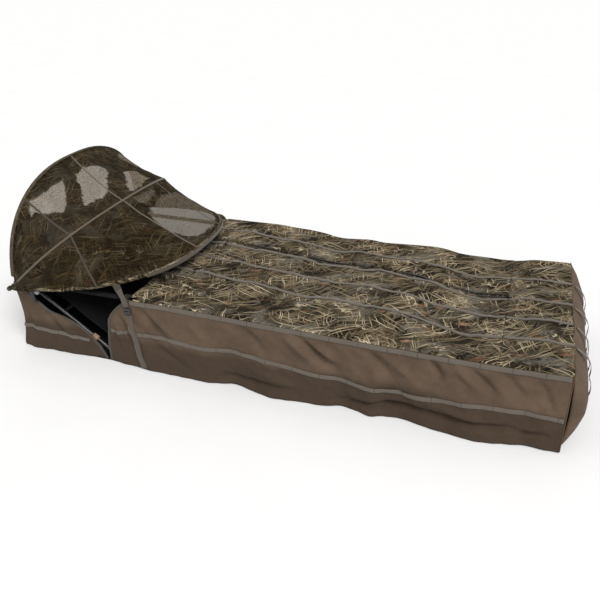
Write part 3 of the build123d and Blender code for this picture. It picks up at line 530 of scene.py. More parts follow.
def lengths(points):
    """Distance along a run of points."""
    steps = np.linalg.norm(np.diff(points, axis=0), axis=1)
    return np.concatenate([[0.0], np.cumsum(steps)])


def resample(points, count):
    """The same run of points, smoothed into evenly spaced ones."""
    points = np.asarray(points, float)
    run = lengths(points)
    even = np.linspace(0, run[-1], count)
    return np.stack([curve(list(zip(run, points[:, k])))(even) for k in range(3)], 1)


def frame_along(line, facing):
    """Unit vectors at each point of a line: along it, and out of it on the side it faces."""
    run = np.gradient(line, axis=0)
    run /= np.linalg.norm(run, axis=1)[:, None] + 1e-12
    facing = np.broadcast_to(np.asarray(facing, float), line.shape)
    out = facing - (facing * run).sum(1)[:, None] * run
    out /= np.linalg.norm(out, axis=1)[:, None] + 1e-12
    return run, out


def ribbon(name, line, width, facing, puff=None, start=0.0):
    """A flat tape along a line of points; facing is the direction its flat side looks to at each."""
    line = np.asarray(line, float)
    run, out = frame_along(line, facing)
    across = np.cross(out, run)
    share = np.linspace(-0.5, 0.5, 5)
    points = line[:, None, :] + across[:, None, :] * (share * width)[None, :, None]
    crown = 0.0004 * (1 - (2 * share) ** 2)
    points = points + out[:, None, :] * crown[None, :, None]
    if puff is not None:
        points = points + out[:, None, :] * np.asarray(puff)[:, None, None]
    return grid_mesh(name, points, xyz((lengths(line) + start)[:, None], share[None, :]))


def cord_tube(name, line, radius, sides=8, squash=1.0):
    """A thin closed tube along a line: a bound edge or a rolled hem."""
    run, out = frame_along(line, (0, 0, 1))
    across = np.cross(run, out)
    turn = np.linspace(0, 2 * math.pi, sides + 1)
    up = out[:, None, :] * np.cos(turn)[None, :, None] * squash
    ring = up + across[:, None, :] * np.sin(turn)[None, :, None]
    points = line[:, None, :] + ring * radius
    made = grid_mesh(name, points, xyz(lengths(line)[:, None], (turn * radius)[None, :]))
    close_ends(made)
    return made


def close_ends(obj):
    """Welds the tube's seam and closes its two ends."""
    work = bmesh.new()
    work.from_mesh(obj.data)
    bmesh.ops.remove_doubles(work, verts=work.verts, dist=1e-6)
    loops = [e for e in work.edges if e.is_boundary]
    bmesh.ops.holes_fill(work, edges=loops, sides=0)
    bmesh.ops.recalc_face_normals(work, faces=work.faces)
    for face in work.faces:
        face.smooth = True
    work.to_mesh(obj.data)
    work.free()


# ---- the lie of the cloth
# the sag of the top cloth's two edges and its middle, and where the walls' lower edges stand
near_edge = curve([(-1.08, 0.0), (-0.56, 0.001), (-0.45, 0.004), (-0.24, 0.002), (0.0, -0.002),
                   (0.15, -0.004), (0.34, -0.008), (0.6, -0.010), (0.85, -0.009), (1.08, -0.004)])
middle = curve([(-0.56, 0.0), (-0.35, -0.002), (-0.15, -0.006), (0.1, -0.016), (0.3, -0.004),
                (0.48, -0.008), (0.62, -0.032), (0.72, -0.040), (0.86, -0.020), (0.97, -0.007),
                (1.08, -0.002)])
far_edge = curve([(-1.08, 0.0), (-0.5, 0.003), (-0.34, 0.005), (-0.25, 0.006), (-0.18, 0.001),
                  (-0.10, -0.002), (-0.03, -0.009), (0.045, -0.022), (0.12, -0.020), (0.19, -0.014),
                  (0.263, -0.019), (0.334, -0.016), (0.403, -0.012), (0.54, -0.012), (0.61, -0.025),
                  (0.742, -0.028), (0.807, -0.029), (0.871, -0.023), (0.932, -0.011), (0.994, -0.007),
                  (1.08, -0.004)])


def meet_y(x):
    share = (np.asarray(x, float) - DOOR_NECK_X) / (DOOR_FOOT_X - DOOR_NECK_X)
    return MEET_HEAD_Y + share * (MEET_FOOT_Y - MEET_HEAD_Y)


def deck_z(x, y):
    """Height of the top cloth: held at the near edge, slack between the hoops, lowest at the far edge."""
    x, y = np.asarray(x, float), np.asarray(y, float)
    inward = ease((y + HALF_W) / 0.20)
    outward = ease((y - 0.12) / (HALF_W - 0.12))
    low = near_edge(x) * (1 - inward) + middle(x) * inward
    low = low * (1 - outward) + far_edge(x) * outward
    edge = ease((HALF_W - np.abs(y)) / 0.06) * ease((1.08 - x) / 0.08)
    soft = 0.0035 * ripple(x, y, 0.22, 11) + 0.0016 * ripple(x + 0.3 * y, y, 0.07, 12)
    return DECK_TOP + low + soft * edge


hem = curve([(-1.08, 0.465), (-0.97, 0.474), (-0.81, 0.468), (-0.676, 0.463), (-0.57, 0.472), (-0.50, 0.479),
             (-0.36, 0.485), (-0.23, 0.486), (-0.17, 0.473), (-0.114, 0.463), (-0.043, 0.480), (0.026, 0.498),
             (0.086, 0.498), (0.20, 0.486), (0.257, 0.480), (0.31, 0.464), (0.372, 0.480), (0.432, 0.497),
             (0.481, 0.471), (0.536, 0.469), (0.593, 0.481), (0.702, 0.503), (0.807, 0.514), (0.906, 0.497),
             (0.955, 0.488), (1.08, 0.487)])
far_hem = curve([(-1.08, 0.465), (-0.7, 0.470), (-0.4, 0.492), (-0.1, 0.478), (0.2, 0.512), (0.5, 0.490),
                 (0.75, 0.516), (0.95, 0.488), (1.08, 0.472)])

# soft folds in the side walls: start and end (x, z), half width, height (out is positive)
FOLDS = [
    (0.08, 0.28, 0.23, 0.17, 0.020, 0.016),
    (0.12, 0.28, 0.285, 0.16, 0.018, -0.015),
    (0.17, 0.26, 0.31, 0.185, 0.012, 0.010),
    (0.40, 0.26, 0.50, 0.17, 0.016, -0.011),
    (0.455, 0.26, 0.56, 0.18, 0.014, 0.008),
    (0.30, 0.03, 0.62, 0.060, 0.012, -0.018),
    (0.62, 0.27, 0.67, 0.20, 0.013, -0.013),
    (0.70, 0.265, 0.80, 0.19, 0.016, 0.010),
    (0.75, 0.26, 0.86, 0.18, 0.014, -0.010),
    (0.52, 0.055, 1.04, 0.062, 0.012, -0.016),
    (0.56, 0.11, 0.80, 0.075, 0.014, 0.007),
    (-0.16, 0.035, 0.12, 0.050, 0.012, -0.014),
    (-0.05, 0.11, 0.16, 0.055, 0.014, 0.008),
    (0.86, 0.27, 0.94, 0.18, 0.018, -0.010),
    (0.88, 0.045, 1.05, 0.10, 0.014, 0.011),
    (0.98, 0.26, 1.04, 0.15, 0.014, -0.007),
    (-0.52, 0.27, -0.40, 0.17, 0.016, -0.010),
    (-0.575, 0.245, -0.52, 0.15, 0.009, 0.009),
    (-0.60, 0.235, -0.55, 0.11, 0.008, -0.009),
    (-0.625, 0.20, -0.585, 0.07, 0.008, 0.008),
    (-0.46, 0.26, -0.36, 0.18, 0.013, 0.007),
    (-0.45, 0.12, -0.30, 0.05, 0.016, -0.009),
    (-0.10, 0.27, 0.02, 0.18, 0.022, -0.010),
    (-0.30, 0.26, -0.22, 0.17, 0.020, 0.007),
    (-0.98, 0.20, -0.86, 0.08, 0.020, -0.008),
    (-0.93, 0.20, -0.80, 0.06, 0.014, 0.006),
    (-1.05, 0.20, -1.02, 0.05, 0.012, -0.006),
]


def fold_at(x, z, mirror=0.0):
    total = 0.0
    for x0, z0, x1, z1, wide, high in FOLDS:
        x0, x1 = x0 + mirror, x1 + mirror * 0.7
        run = np.array([x1 - x0, z1 - z0])
        size = np.linalg.norm(run)
        along = ((x - x0) * run[0] + (z - z0) * run[1]) / size**2
        off = ((x - x0) * run[1] - (z - z0) * run[0]) / size
        taper = ease(np.clip(1.15 - np.abs(along - 0.5) * 1.6, 0, 1))
        total = total + high * np.exp(-((off / wide) ** 2)) * taper
    return total


def wall_top(x, side):
    return WALL_TOP + (near_edge(x) if side < 0 else far_edge(x))


def wall_point(x, z, side):
    """The outer face of a side wall at a place along the blind and a height at rest."""
    top = wall_top(x, side)
    down = np.clip(1 - (z - FLOOR_TOP) / (top - FLOOR_TOP), 0, 1)
    flare = ((hem if side < 0 else far_hem)(x) - HALF_W) * (1 - (1 - down) ** 1.35)
    held = ease(down / 0.18) * ease((HALF_L - np.abs(x)) / 0.05)
    fold = 1.5 * fold_at(x, z, 0 if side < 0 else 0.17)
    soft = 0.0034 * ripple(x + 0.7 * z, z * 1.3, 0.17, 5 - side) + 0.0013 * ripple(x + z, z, 0.055, 8 - side)
    return xyz(x, side * (HALF_W + flare + (fold + soft) * held), z)


def bind_opening(name, edge, count, width, side):
    """The dark tape along one edge of an arm opening."""
    bound = ribbon(name, resample(edge, count), width, (0, side, 0.05), puff=np.full(count, 0.0012))
    dress(bound, DARK_TAPE, 0.0012, fold=True)


def end_lean(z):
    """How far the head end is drawn in by its slack, at a height."""
    return 0.020 * np.sin(np.pi * np.clip((z - 0.02) / 0.25, 0, 1))


# the two sides of the arm openings, as (height, place along the blind)
notch_body = curve([(0.003, -0.666), (0.125, -0.660), (0.205, -0.645), (0.268, -0.592), (0.306, -0.540)])
notch_head = curve([(0.003, -0.680), (0.078, -0.716), (0.138, -0.778), (0.176, -0.880), (0.250, -1.012),
                    (0.297, -1.030)])

for side, word in SIDES:
    # body wall, from the arm opening to the foot
    lift, share = grid(44, 300)
    x0 = notch_body(FLOOR_TOP + lift * (0.297 - FLOOR_TOP))
    x = x0 + share * (HALF_L - x0)
    z = FLOOR_TOP + lift * (wall_top(x, side) - FLOOR_TOP)
    points = wall_point(x, z, side)
    wall = grid_mesh(f"{word}_side_wall", points, xyz(x, z), flip=side < 0)
    dress(wall, WALL, 0.0018, LINING, fold=True)
    stands_for(wall, f"{word}_body_wall", (0.30, 1.76), ["side_rails", "floor_panel"])
    bind_opening(f"{word}_opening_edge_rear", points[:, 0] + (0.004, 0, 0), 60, 0.011, side)

    # head wall, behind the arm opening
    lift, share = grid(40, 90)
    z = FLOOR_TOP + lift * (WALL_TOP - FLOOR_TOP)
    x0 = -HALF_L + end_lean(z)
    x = x0 + share * (notch_head(z) - x0)
    points = wall_point(x, z, side)
    wall = grid_mesh(f"{word}_head_side_wall", points, xyz(x, z), flip=side < 0)
    dress(wall, WALL, 0.0018, LINING, fold=True)
    stands_for(wall, f"{word}_head_wall", (0.30, 0.40), ["top_rails", "floor_panel"], area=0.0705)
    bind_opening(f"{word}_opening_edge_front", points[:, -1] + (-0.004, 0, 0), 70, 0.012, side)

# head end wall
lift, across = grid(30, 90, v_ends=(-HALF_W + 0.002, HALF_W - 0.002))
z = FLOOR_TOP + lift * (WALL_TOP - FLOOR_TOP)
soft = 0.003 * ripple(across, z * 1.4, 0.2, 21) * ease(lift * (1 - lift) * 8)
points = xyz(-HALF_L + 0.001 + end_lean(z) + soft * 0.6, across, z)
head_end = grid_mesh("head_end_cloth", points, xyz(across, z))
dress(head_end, BROWN, 0.0018, LINING, fold=True)
stands_for(head_end, "head_end_wall", (0.30, 0.915), ["top_cross_tubes", "floor_panel"])

# ---- foot panel
FOOT_X, FOOT_ARC = HALF_L + 0.003, 0.1863
FOOT_MID_Z, FOOT_SWELL = 0.149, 0.0706


def foot_point(y, z):
    """The outer face of the swollen foot panel."""
    y, z = np.asarray(y, float), np.asarray(z, float)
    swell = np.sqrt(np.maximum(FOOT_ARC**2 - (z - FOOT_MID_Z) ** 2, 0)) - (FOOT_ARC - FOOT_SWELL)
    corner = np.sqrt(np.maximum(1 - np.abs(y / (HALF_W + 0.004)) ** 14, 0))
    soft = 0.004 * ripple(y, z * 1.3, 0.19, 31) + 0.0016 * ripple(y, z, 0.06, 32)
    return xyz(FOOT_X + np.maximum(swell, 0) * corner * 0.97 + soft * corner * 0.6 - 0.002, y, z)


lift, across = grid(44, 130, v_ends=(-1, 1))
y = np.sign(across) * (1 - (1 - np.abs(across)) ** 1.35) * (HALF_W + 0.0035)
top = WALL_TOP + 0.0045 + np.where(y < 0, near_edge(1.08), far_edge(1.08)) * np.abs(y) / HALF_W
z = FLOOR_TOP + lift * (top - FLOOR_TOP)
foot = grid_mesh("foot_panel_cloth", foot_point(y, z), xyz(y, z), flip=True)
dress(foot, BROWN, 0.0018, LINING, fold=True)
stands_for(foot, "foot_end_wall", (0.335, 0.93), ["top_cross_tubes", "floor_panel"])

for side, word in SIDES:
    height = np.linspace(0.006, WALL_TOP - 0.002, 50)
    line = xyz(HALF_L + 0.001, wall_point(HALF_L - 0.002, height, side)[:, 1], height)
    piping = cord_tube(f"{word}_foot_seam", line, 0.0020)
    dress(piping, BROWN, fold=True)

# ---- floor sheet
x, y = grid(120, 50, (-HALF_L + 0.001, HALF_L - 0.001), (-HALF_W + 0.001, HALF_W - 0.001))
ground = grid_mesh("floor_sheet", xyz(x, y, 0.0026 + 0.0004 * ripple(x, y, 0.2, 41)), xyz(x, y))
dress(ground, LINING, 0.0018, body="root")
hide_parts("floor_panel")

# ---- doors and foot cover
neck = curve([(-0.449, -0.53), (-0.39, -0.53), (-0.295, -0.466), (-0.19, -0.428), (-0.10, -0.416),
              (0.21, -0.416)])


# where a door's cloth would bend: between the hinge line and this line inside it; only the keys are read
HINGE_BEND = {"near_door": (-HINGE_Y, -0.36), "far_door": (HINGE_Y, 0.34)}


def bend_at_hinge(obj):
    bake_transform(obj)


def deck_sheet(name, x0, x1, y0, y1, rows, columns, body, curl0=0.0, curl1=0.0, drop_end=0.0):
    """A piece of the top cloth between two lines in X and two lines in Y, edges turned down."""
    u, v = grid(rows, columns)
    u = 0.5 - 0.5 * np.cos(np.pi * u) * 0.35 + (u - 0.5) * 0.65
    curved = callable(x0)
    x_mid = x0(0 * v + 0.5) if curved else x0
    x = x_mid + u * (x1 - x_mid)
    y = y0(x) + v * (y1(x) - y0(x))
    start = x0(y) if curved else x0
    x = start + u * (x1 - start)
    y = y0(x) + v * (y1(x) - y0(x))
    z = deck_z(x, y) - curl0 * hollow(y - y0(x), 0.010) - curl1 * hollow(y1(x) - y, 0.010)
    if curved:
        z = z - 0.004 * hollow(x - start, 0.006)
    z = z - drop_end * hollow(x1 - x, 0.008)
    made = grid_mesh(name, xyz(x, y, z), xyz(x, y))
    dress(made, CAMO, 0.0018, LINING, body=None if body in HINGE_BEND else body)
    if body in HINGE_BEND:
        bend_at_hinge(made)
    return made


near_door = deck_sheet("near_door_cloth", lambda y: neck(y), DOOR_FOOT_X, lambda x: 0 * x - HINGE_Y - 0.0005,
                       lambda x: meet_y(x) - 0.0005, 260, 130, "near_door", curl1=0.012)
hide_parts("near_door_panel")
far_door = deck_sheet("far_door_cloth", lambda y: neck(-y), DOOR_FOOT_X, lambda x: meet_y(x) + 0.0055,
                      lambda x: 0 * x + HINGE_Y + 0.0005, 260, 70, "far_door", curl0=0.013)
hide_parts("far_door_panel")
cover = deck_sheet("foot_cover_cloth", COVER_X, HALF_L + 0.0035, lambda x: 0 * x - HALF_W - 0.001,
                   lambda x: 0 * x + HALF_W + 0.001, 60, 200, "top_frame", curl0=0.005, curl1=0.005,
                   drop_end=0.004)
stands_for(cover, "foot_cover", (0.237, 0.925), ["top_elbows", "top_cross_tubes"])

FLAP_HEAD_X, FLAP_SIDE_Y = -0.556, 0.440
for side, word in SIDES:
    u, v = grid(40, 90)
    middle_y = meet_y(DOOR_NECK_X) + (0.0055 if side > 0 else -0.0005)
    y = middle_y + v * (side * FLAP_SIDE_Y - middle_y)
    x_end = neck(-np.abs(y)) if side > 0 else neck(y)
    x = FLAP_HEAD_X + u * (x_end - 0.0006 - FLAP_HEAD_X)
    z = deck_z(x, y) - 0.0125 * hollow(y - middle_y, 0.010) - 0.004 * hollow(x_end - x, 0.006)
    z = z - 0.003 * hollow(x - FLAP_HEAD_X, 0.004)
    flap = grid_mesh(f"{word}_flap_cloth", xyz(x, y, z), xyz(x, y), flip=side < 0)
    dress(flap, CAMO, 0.0018, LINING)
    bend_at_hinge(flap)
    long, area = (0.645, 0.073) if side < 0 else (0.235, 0.016)
    stands_for(flap, f"{word}_neck_flap", (0.14, long), [f"{word}_door_panel"], area=area)

for side, word in SIDES:
    x, turn = grid(220, 6, (DOOR_HEAD_X, DOOR_FOOT_X), (0, math.pi / 2))
    y = side * (HINGE_Y + 0.002 + 0.0095 * np.sin(turn))
    z = deck_z(x, side * (HALF_W - 0.003)) - 0.0065 * (1 - np.cos(turn)) - 0.0004
    strip = grid_mesh(f"{word}_hinge_hem", xyz(x, y, z), xyz(x, y), flip=side < 0)
    dress(strip, CAMO, 0.0016, LINING, body="top_frame")
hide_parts("hinge_hems")


# ---- webbing on the cloth
STRAP_W = 0.0165


def deck_strap(name, start, end, body, seed=0):
    """A lengthwise strap on the top cloth, sewn down at intervals and a little slack between."""
    count = int(abs(end[0] - start[0]) / 0.008) + 6
    t = np.linspace(0, 1, count)
    x = start[0] + t * (end[0] - start[0])
    sway = 0.0035 * ripple(x, 0, 0.24, 50 + seed) * ease(t * 12) * ease((1 - t) * 12)
    y = start[1] + t * (end[1] - start[1]) + sway
    step = 0.004
    along = (deck_z(x + step, y) - deck_z(x - step, y)) / (2 * step)
    aside = (deck_z(x, y + step) - deck_z(x, y - step)) / (2 * step)
    uneven = 0.6 + 0.4 * ripple(x, 0, 0.5, 60 + seed)
    slack = 0.0012 + 0.0030 * np.abs(np.sin(np.pi * (x + 0.6) / 0.21)) ** 0.8 * uneven
    strap = ribbon(name, xyz(x, y, deck_z(x, y)), STRAP_W, xyz(-along, -aside, 1), puff=slack)
    return dress(strap, TAPE, 0.0013, body=body)


NEAR_SHIFTS = (-0.040, -0.195, -0.350)  # of the near door's straps from where the doors meet
for i, shift in enumerate(NEAR_SHIFTS):
    x0 = DOOR_NECK_X + (0.008 if shift > -0.3 else 0.002)
    x1 = DOOR_FOOT_X - 0.002
    start, end = ((x, float(meet_y(x)) + shift) for x in (x0, x1))
    deck_strap(f"near_door_strap_{i + 1}", start, end, "near_door", seed=i)
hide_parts("near_door_straps")
start, end = (DOOR_HEAD_X + 0.09, 0.318), (DOOR_FOOT_X - 0.002, 0.245)
far_strap = deck_strap("far_door_strap", start, end, "far_door", seed=5)
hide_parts("far_door_straps")
for i, y in enumerate([float(meet_y(DOOR_NECK_X)) + shift for shift in NEAR_SHIFTS] + [0.318]):
    word = "near" if i < 3 else "far"
    x1 = DOOR_NECK_X - 0.004 if i < 2 else float(neck(-abs(y))) - 0.004
    deck_strap(f"{word}_flap_strap_{i + 1}", (FLAP_HEAD_X + 0.003, y), (x1, y), f"{word}_door", seed=i)
COVER_STRAP_Y = [MEET_FOOT_Y + shift for shift in NEAR_SHIFTS] + [0.245]
for i, y in enumerate(COVER_STRAP_Y):
    start, end = (COVER_X + 0.002, y), (HALF_L, y - 0.018)
    deck_strap(f"foot_cover_strap_{i + 1}", start, end, "top_frame", seed=8 + i)
    z = np.linspace(0.288, 0.062, 70)
    t = (0.288 - z) / (0.288 - 0.062)
    line = foot_point(y - 0.018 + 0.004 * ripple(z, 0, 0.2, 80 + i), z)
    loose = 0.003 + 0.012 * np.abs(np.sin(np.pi * (t * 2.0 + 0.04 * i))) ** 1.2
    loop = ribbon(f"foot_panel_strap_{i + 1}", line, STRAP_W, (1, 0, 0.12), puff=loose)
    dress(loop, TAPE, 0.0013, fold=True)
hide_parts("foot_cover_straps")
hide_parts("foot_panel_straps")

mid_web = curve([(-0.65, 0.146), (-0.61, 0.147), (-0.47, 0.158), (-0.25, 0.148), (-0.04, 0.152),
                 (0.27, 0.122), (0.58, 0.112), (0.81, 0.132), (1.08, 0.127)])


def wall_strap(name, x0, x1, height, width, side):
    """A band of webbing along a side wall, sewn down every TACK_PITCH and puffed out between."""
    x = np.arange(x0, x1, 0.006)
    z = height(x)
    uneven = 0.6 + 0.4 * ripple(x, 0, 0.4, 90 + side)
    puff = 0.0014 + 0.0022 * np.abs(np.sin(np.pi * x / TACK_PITCH)) ** 0.7 * uneven
    lean = (wall_point(x, z + 0.01, side) - wall_point(x, z - 0.01, side)) / 0.02
    facing = xyz(0, side, -side * lean[:, 1])
    strap = ribbon(name, wall_point(x, z, side), width, facing, puff=puff, start=x0)
    dress(strap, TACKED, 0.0013, fold=True)
    return strap


for side, word in SIDES:
    lower_by = 0 if side < 0 else 0.004
    band = wall_strap(f"{word}_top_band", -0.545, HALF_L, lambda x: wall_top(x, side) - 0.0105, 0.019, side)
    wall_strap(f"{word}_mid_band", -0.646, HALF_L, lambda x: mid_web(x) - lower_by, 0.0165, side)
    wall_strap(f"{word}_head_band", -1.066, -0.745, lambda x: 0.101 - 0.045 * (x + 1.07), 0.016, side)
    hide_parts(f"{word}_side_straps")

# ---- hood
def bow_line(bow, grow, start, count):
    """Evenly spaced points over a hood bow, near side to far side."""
    angle, reach, half, n, m = bow
    reach, half = reach + grow, half + grow
    first = math.asin((start / reach) ** (m / 2))
    t = np.linspace(first, math.pi - first, 1600)
    across = -half * np.sign(np.cos(t)) * np.abs(np.cos(t)) ** (2 / n)
    r = reach * np.sin(t) ** (2 / m)
    a = math.radians(angle)
    points = xyz(PIVOT_X + r * math.cos(a), across, PIVOT_Z + r * math.sin(a))
    run = lengths(points)
    even = np.linspace(0, run[-1], count)
    return np.stack([np.interp(even, run, points[:, k]) for k in range(3)], -1)


def angle_of(points):
    """Angle of points about the hood's pivot axis, in degrees above the horizon."""
    return np.degrees(np.arctan2(points[..., 2] - PIVOT_Z, points[..., 0] - PIVOT_X))


def blend_by_angle(obj, angle_a, angle_b):
    """Bakes the cloth's transform and works out each point's share of the angle between two bows; the shares
    are not applied.
    """
    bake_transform(obj)
    points = np.array([v.co for v in obj.data.vertices])
    share = np.clip((angle_of(points) - angle_a) / (angle_b - angle_a), 0, 1)
    near_axis = np.hypot(points[:, 0] - PIVOT_X, points[:, 2] - PIVOT_Z) < 0.004
    share[near_axis] = 0.5


HOOD_LONG, HOOD_DEEP = 1.25, 0.36
SECTIONS = {
    "rear": (BACK_BOW, MID_BOW, "top_frame", "hood_mid", 0.0),
    "front": (MID_BOW, RIM_BOW, "hood_mid", "hood_rim", 1.0),
}
# the see-through windows, as outlines in (share of the bow from near to far, share between the bows)
WINDOWS = {
    "rear": [
        [(0.23, 0.09), (0.265, 0.15), (0.30, 0.20), (0.375, 0.24), (0.352, 0.36), (0.328, 0.44),
         (0.308, 0.54), (0.275, 0.62), (0.245, 0.46), (0.208, 0.23)],
        [(0.425, 0.28), (0.47, 0.24), (0.52, 0.28), (0.555, 0.42), (0.50, 0.58), (0.445, 0.77), (0.412, 0.80),
         (0.335, 0.76), (0.39, 0.49), (0.408, 0.37)],
        [(0.605, 0.58), (0.66, 0.66), (0.67, 0.88), (0.54, 0.97), (0.505, 0.93), (0.56, 0.74)],
        [(0.70, 0.14), (0.76, 0.12), (0.79, 0.30), (0.76, 0.52), (0.71, 0.50), (0.68, 0.30)],
    ],
    "front": [
        [(0.47, 0.30), (0.60, 0.20), (0.70, 0.30), (0.74, 0.60), (0.70, 0.88), (0.60, 0.93), (0.50, 0.86),
         (0.465, 0.68), (0.455, 0.48)],
        [(0.49, 0.06), (0.60, 0.05), (0.60, 0.12), (0.50, 0.20)],
        [(0.86, 0.20), (0.90, 0.30), (0.90, 0.55), (0.86, 0.60), (0.84, 0.40)],
    ],
}


def inside_by(a, s, outline):
    """Distance to a window's edge, in metres of cloth: positive inside it."""
    px, py = a * HOOD_LONG, s * HOOD_DEEP
    corners = [(x * HOOD_LONG, y * HOOD_DEEP) for x, y in outline]
    nearest = np.full(px.shape, 1e9)
    within = np.zeros(px.shape, bool)
    for (x0, y0), (x1, y1) in zip(corners, corners[1:] + corners[:1]):
        run = (px - x0) * (x1 - x0) + (py - y0) * (y1 - y0)
        t = np.clip(run / ((x1 - x0) ** 2 + (y1 - y0) ** 2), 0, 1)
        nearest = np.minimum(nearest, np.hypot(px - x0 - t * (x1 - x0), py - y0 - t * (y1 - y0)))
        crosses = ((y0 > py) != (y1 > py)) & (px < (x1 - x0) * (py - y0) / (y1 - y0 + 1e-12) + x0)
        within ^= crosses
    return np.where(within, nearest, -nearest)


def hood_point(section, a, s, lift=0.0):
    """The hood's outer face at shares along the bow (a) and between the bows (s)."""
    upper, lower = SECTIONS[section][:2]
    where = np.clip(a, 0, 1) * 699
    pick = []
    for bow in (upper, lower):
        line = bow_line(bow, HOOD_LIFT + lift, HOOD_START, 700)
        pick.append(xyz(*(np.interp(where, np.arange(700), line[:, k]) for k in range(3))))
    s = np.asarray(s)[..., None]
    points = pick[0] * (1 - s) + pick[1] * s
    axis = points - np.array([PIVOT_X, 0, PIVOT_Z])
    axis[..., 1] *= 0.35
    inward = axis / (np.linalg.norm(axis, axis=-1, keepdims=True) + 1e-9)
    middle_part = np.sin(np.pi * np.clip(a, 0, 1))[..., None] ** 0.5
    hang = 0.013 * 4 * s * (1 - s) * middle_part
    crease = 0.0016 * ripple(a * HOOD_LONG, s[..., 0] * HOOD_DEEP, 0.13, 101) * (4 * s * (1 - s))[..., 0]
    return points - inward * (hang + crease[..., None])


for section, (upper, lower, body_a, body_b, row) in SECTIONS.items():
    s, a = grid(64, 260)
    points = hood_point(section, a, s)
    window = np.max([inside_by(a, s, w) for w in WINDOWS[section]], axis=0)
    depth = np.linalg.norm(points[-1] - points[0], axis=-1)[None, :] * s
    flat = xyz(a * HOOD_LONG + 4.0, depth + 3.0 + row * 0.5)
    cloth = grid_mesh(f"hood_{section}_cloth", points, flat, {"window": window})
    dress(cloth, HOOD if section == "rear" else NOSE)
    blend_by_angle(cloth, upper[0], lower[0])
    stands_for(cloth, f"hood_{section}_section", (0.42, 1.30), ["back_hoop", "mid_bow", "rim_bow"],
               area=0.36 if section == "rear" else 0.42)

    # the tapes that run lengthwise, over the fabric
    lines = {"rear": ((0.48, 0.445, "centre"), (0.235, 0.222, "near"), (0.765, 0.778, "far")),
             "front": ((0.448, 0.468, "centre"), (0.222, 0.19, "near"), (0.66, 0.62, "far"))}[section]
    for a0, a1, word in lines:
        s = np.linspace(0.0, 1.0, 70)
        line = hood_point(section, a0 + (a1 - a0) * s, s, 0.0010)
        step = hood_point(section, a0 + (a1 - a0) * s + 0.004, s, 0.0010) - line
        facing = np.cross(np.gradient(line, axis=0), step)
        tape = ribbon(f"hood_{section}_tape_{word}", line, 0.008, facing)
        dress(tape, SEAM_TAPE if word == "centre" else DARK_TAPE, 0.0008)
        blend_by_angle(tape, upper[0], lower[0])


def bow_tape(name, bow, lift, width, body, material, a0=0.0, a1=1.0):
    """A tape that lies over a bow, from one share of its length to another."""
    line = bow_line(bow, lift, HOOD_START, 500)
    line = resample(line[int(a0 * 499): int(a1 * 499) + 1], 200)
    a = math.radians(bow[0])
    facing = np.cross((-math.sin(a), 0, math.cos(a)), np.gradient(line, axis=0))
    flip = np.sign(((line - (PIVOT_X, 0, PIVOT_Z)) * facing).sum(1))[:, None]
    dress(ribbon(name, line, width, facing * flip), material, 0.0012, body=body)


bow_tape("hood_mid_seam", MID_BOW, HOOD_LIFT + 0.0012, 0.008, "hood_mid", SEAM_TAPE)
bow_tape("hood_back_seam", BACK_BOW, HOOD_LIFT + 0.0012, 0.016, "top_frame", HOOD)

# the rim's rolled hem, printed, with brown binding over it round the nose
rim = bow_line(RIM_BOW, 0.0, 0.020, 600)
share = np.linspace(0, 1, 600)
drop = 0.0035 * np.abs(np.sin(share * 42)) * ease((0.30 - np.abs(share - 0.02)) * 8)
rim_hem = cord_tube("hood_rim_hem", resample(rim - xyz(0, 0, drop), 300), 0.0105, 12, 0.85)
dress(rim_hem, CAMO, body="hood_rim")
bow_tape("hood_nose_binding", RIM_BOW, 0.0115, 0.017, "hood_rim", HOLD_TAPE, 0.30, 0.70)

# back panel
hoop = bow_line(BACK_BOW, -0.0085, 0.016, 120)
rise = np.linspace(0, 1, 40)[:, None, None]
base = xyz(PIVOT_X, hoop[:, 1], PIVOT_Z + 0.016)
points = base[None] * (1 - rise) + hoop[None] * rise
points[..., 0] -= 0.0008 * np.sin(np.pi * rise[:, :, 0])
back = grid_mesh("hood_back_cloth", points, points[..., 1:])
dress(back, SCREEN, body="top_frame")
stands_for(back, "hood_back_panel", (0.42, 0.93), ["back_hoop"], area=0.345)

# ---- hold-down straps
# from the hood's rim, over the corner of the arm opening, to the buckle on the wall
HOLD_RUN = [(-0.622, 0.424, 0.341), (-0.608, 0.434, 0.330), (-0.584, 0.453, 0.315), (-0.566, 0.467, 0.301),
            (-0.560, 0.4705, 0.290), (-0.555, 0.4705, 0.270)]
for side, word in SIDES:
    line = resample([(x, side * y, z) for x, y, z in HOLD_RUN], 50)
    turned = ease(np.linspace(0, 1, 50)[:, None] * 1.6)
    facing = np.array([0.35, side * 0.5, 0.79]) * (1 - turned) + np.array([0, side, 0.05]) * turned
    upper = ribbon(f"{word}_hold_strap_upper", line, 0.025, facing)
    dress(upper, HOLD_TAPE, 0.0015, body="hood_rim")
    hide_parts(f"{word}_strap_upper")
    tab = ribbon(f"{word}_hold_strap_tab", line[:14] + facing[:14] * 0.0016, 0.027, facing[:14])
    dress(tab, DARK_TAPE, 0.0015, body="hood_rim")
    z = np.linspace(0.236, 0.010, 60)
    x = -0.548 + (0.236 - z) / 0.230 * 0.051
    line = wall_point(x, z, side) + (0, side * 0.0042, 0)
    puff = 0.002 * np.sin(np.linspace(0, math.pi, 60))
    lower = ribbon(f"{word}_hold_strap_lower", line, 0.025, (0, side, 0.1), puff=puff)
    dress(lower, HOLD_TAPE, 0.0015, fold=True)
    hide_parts(f"{word}_strap_lower")

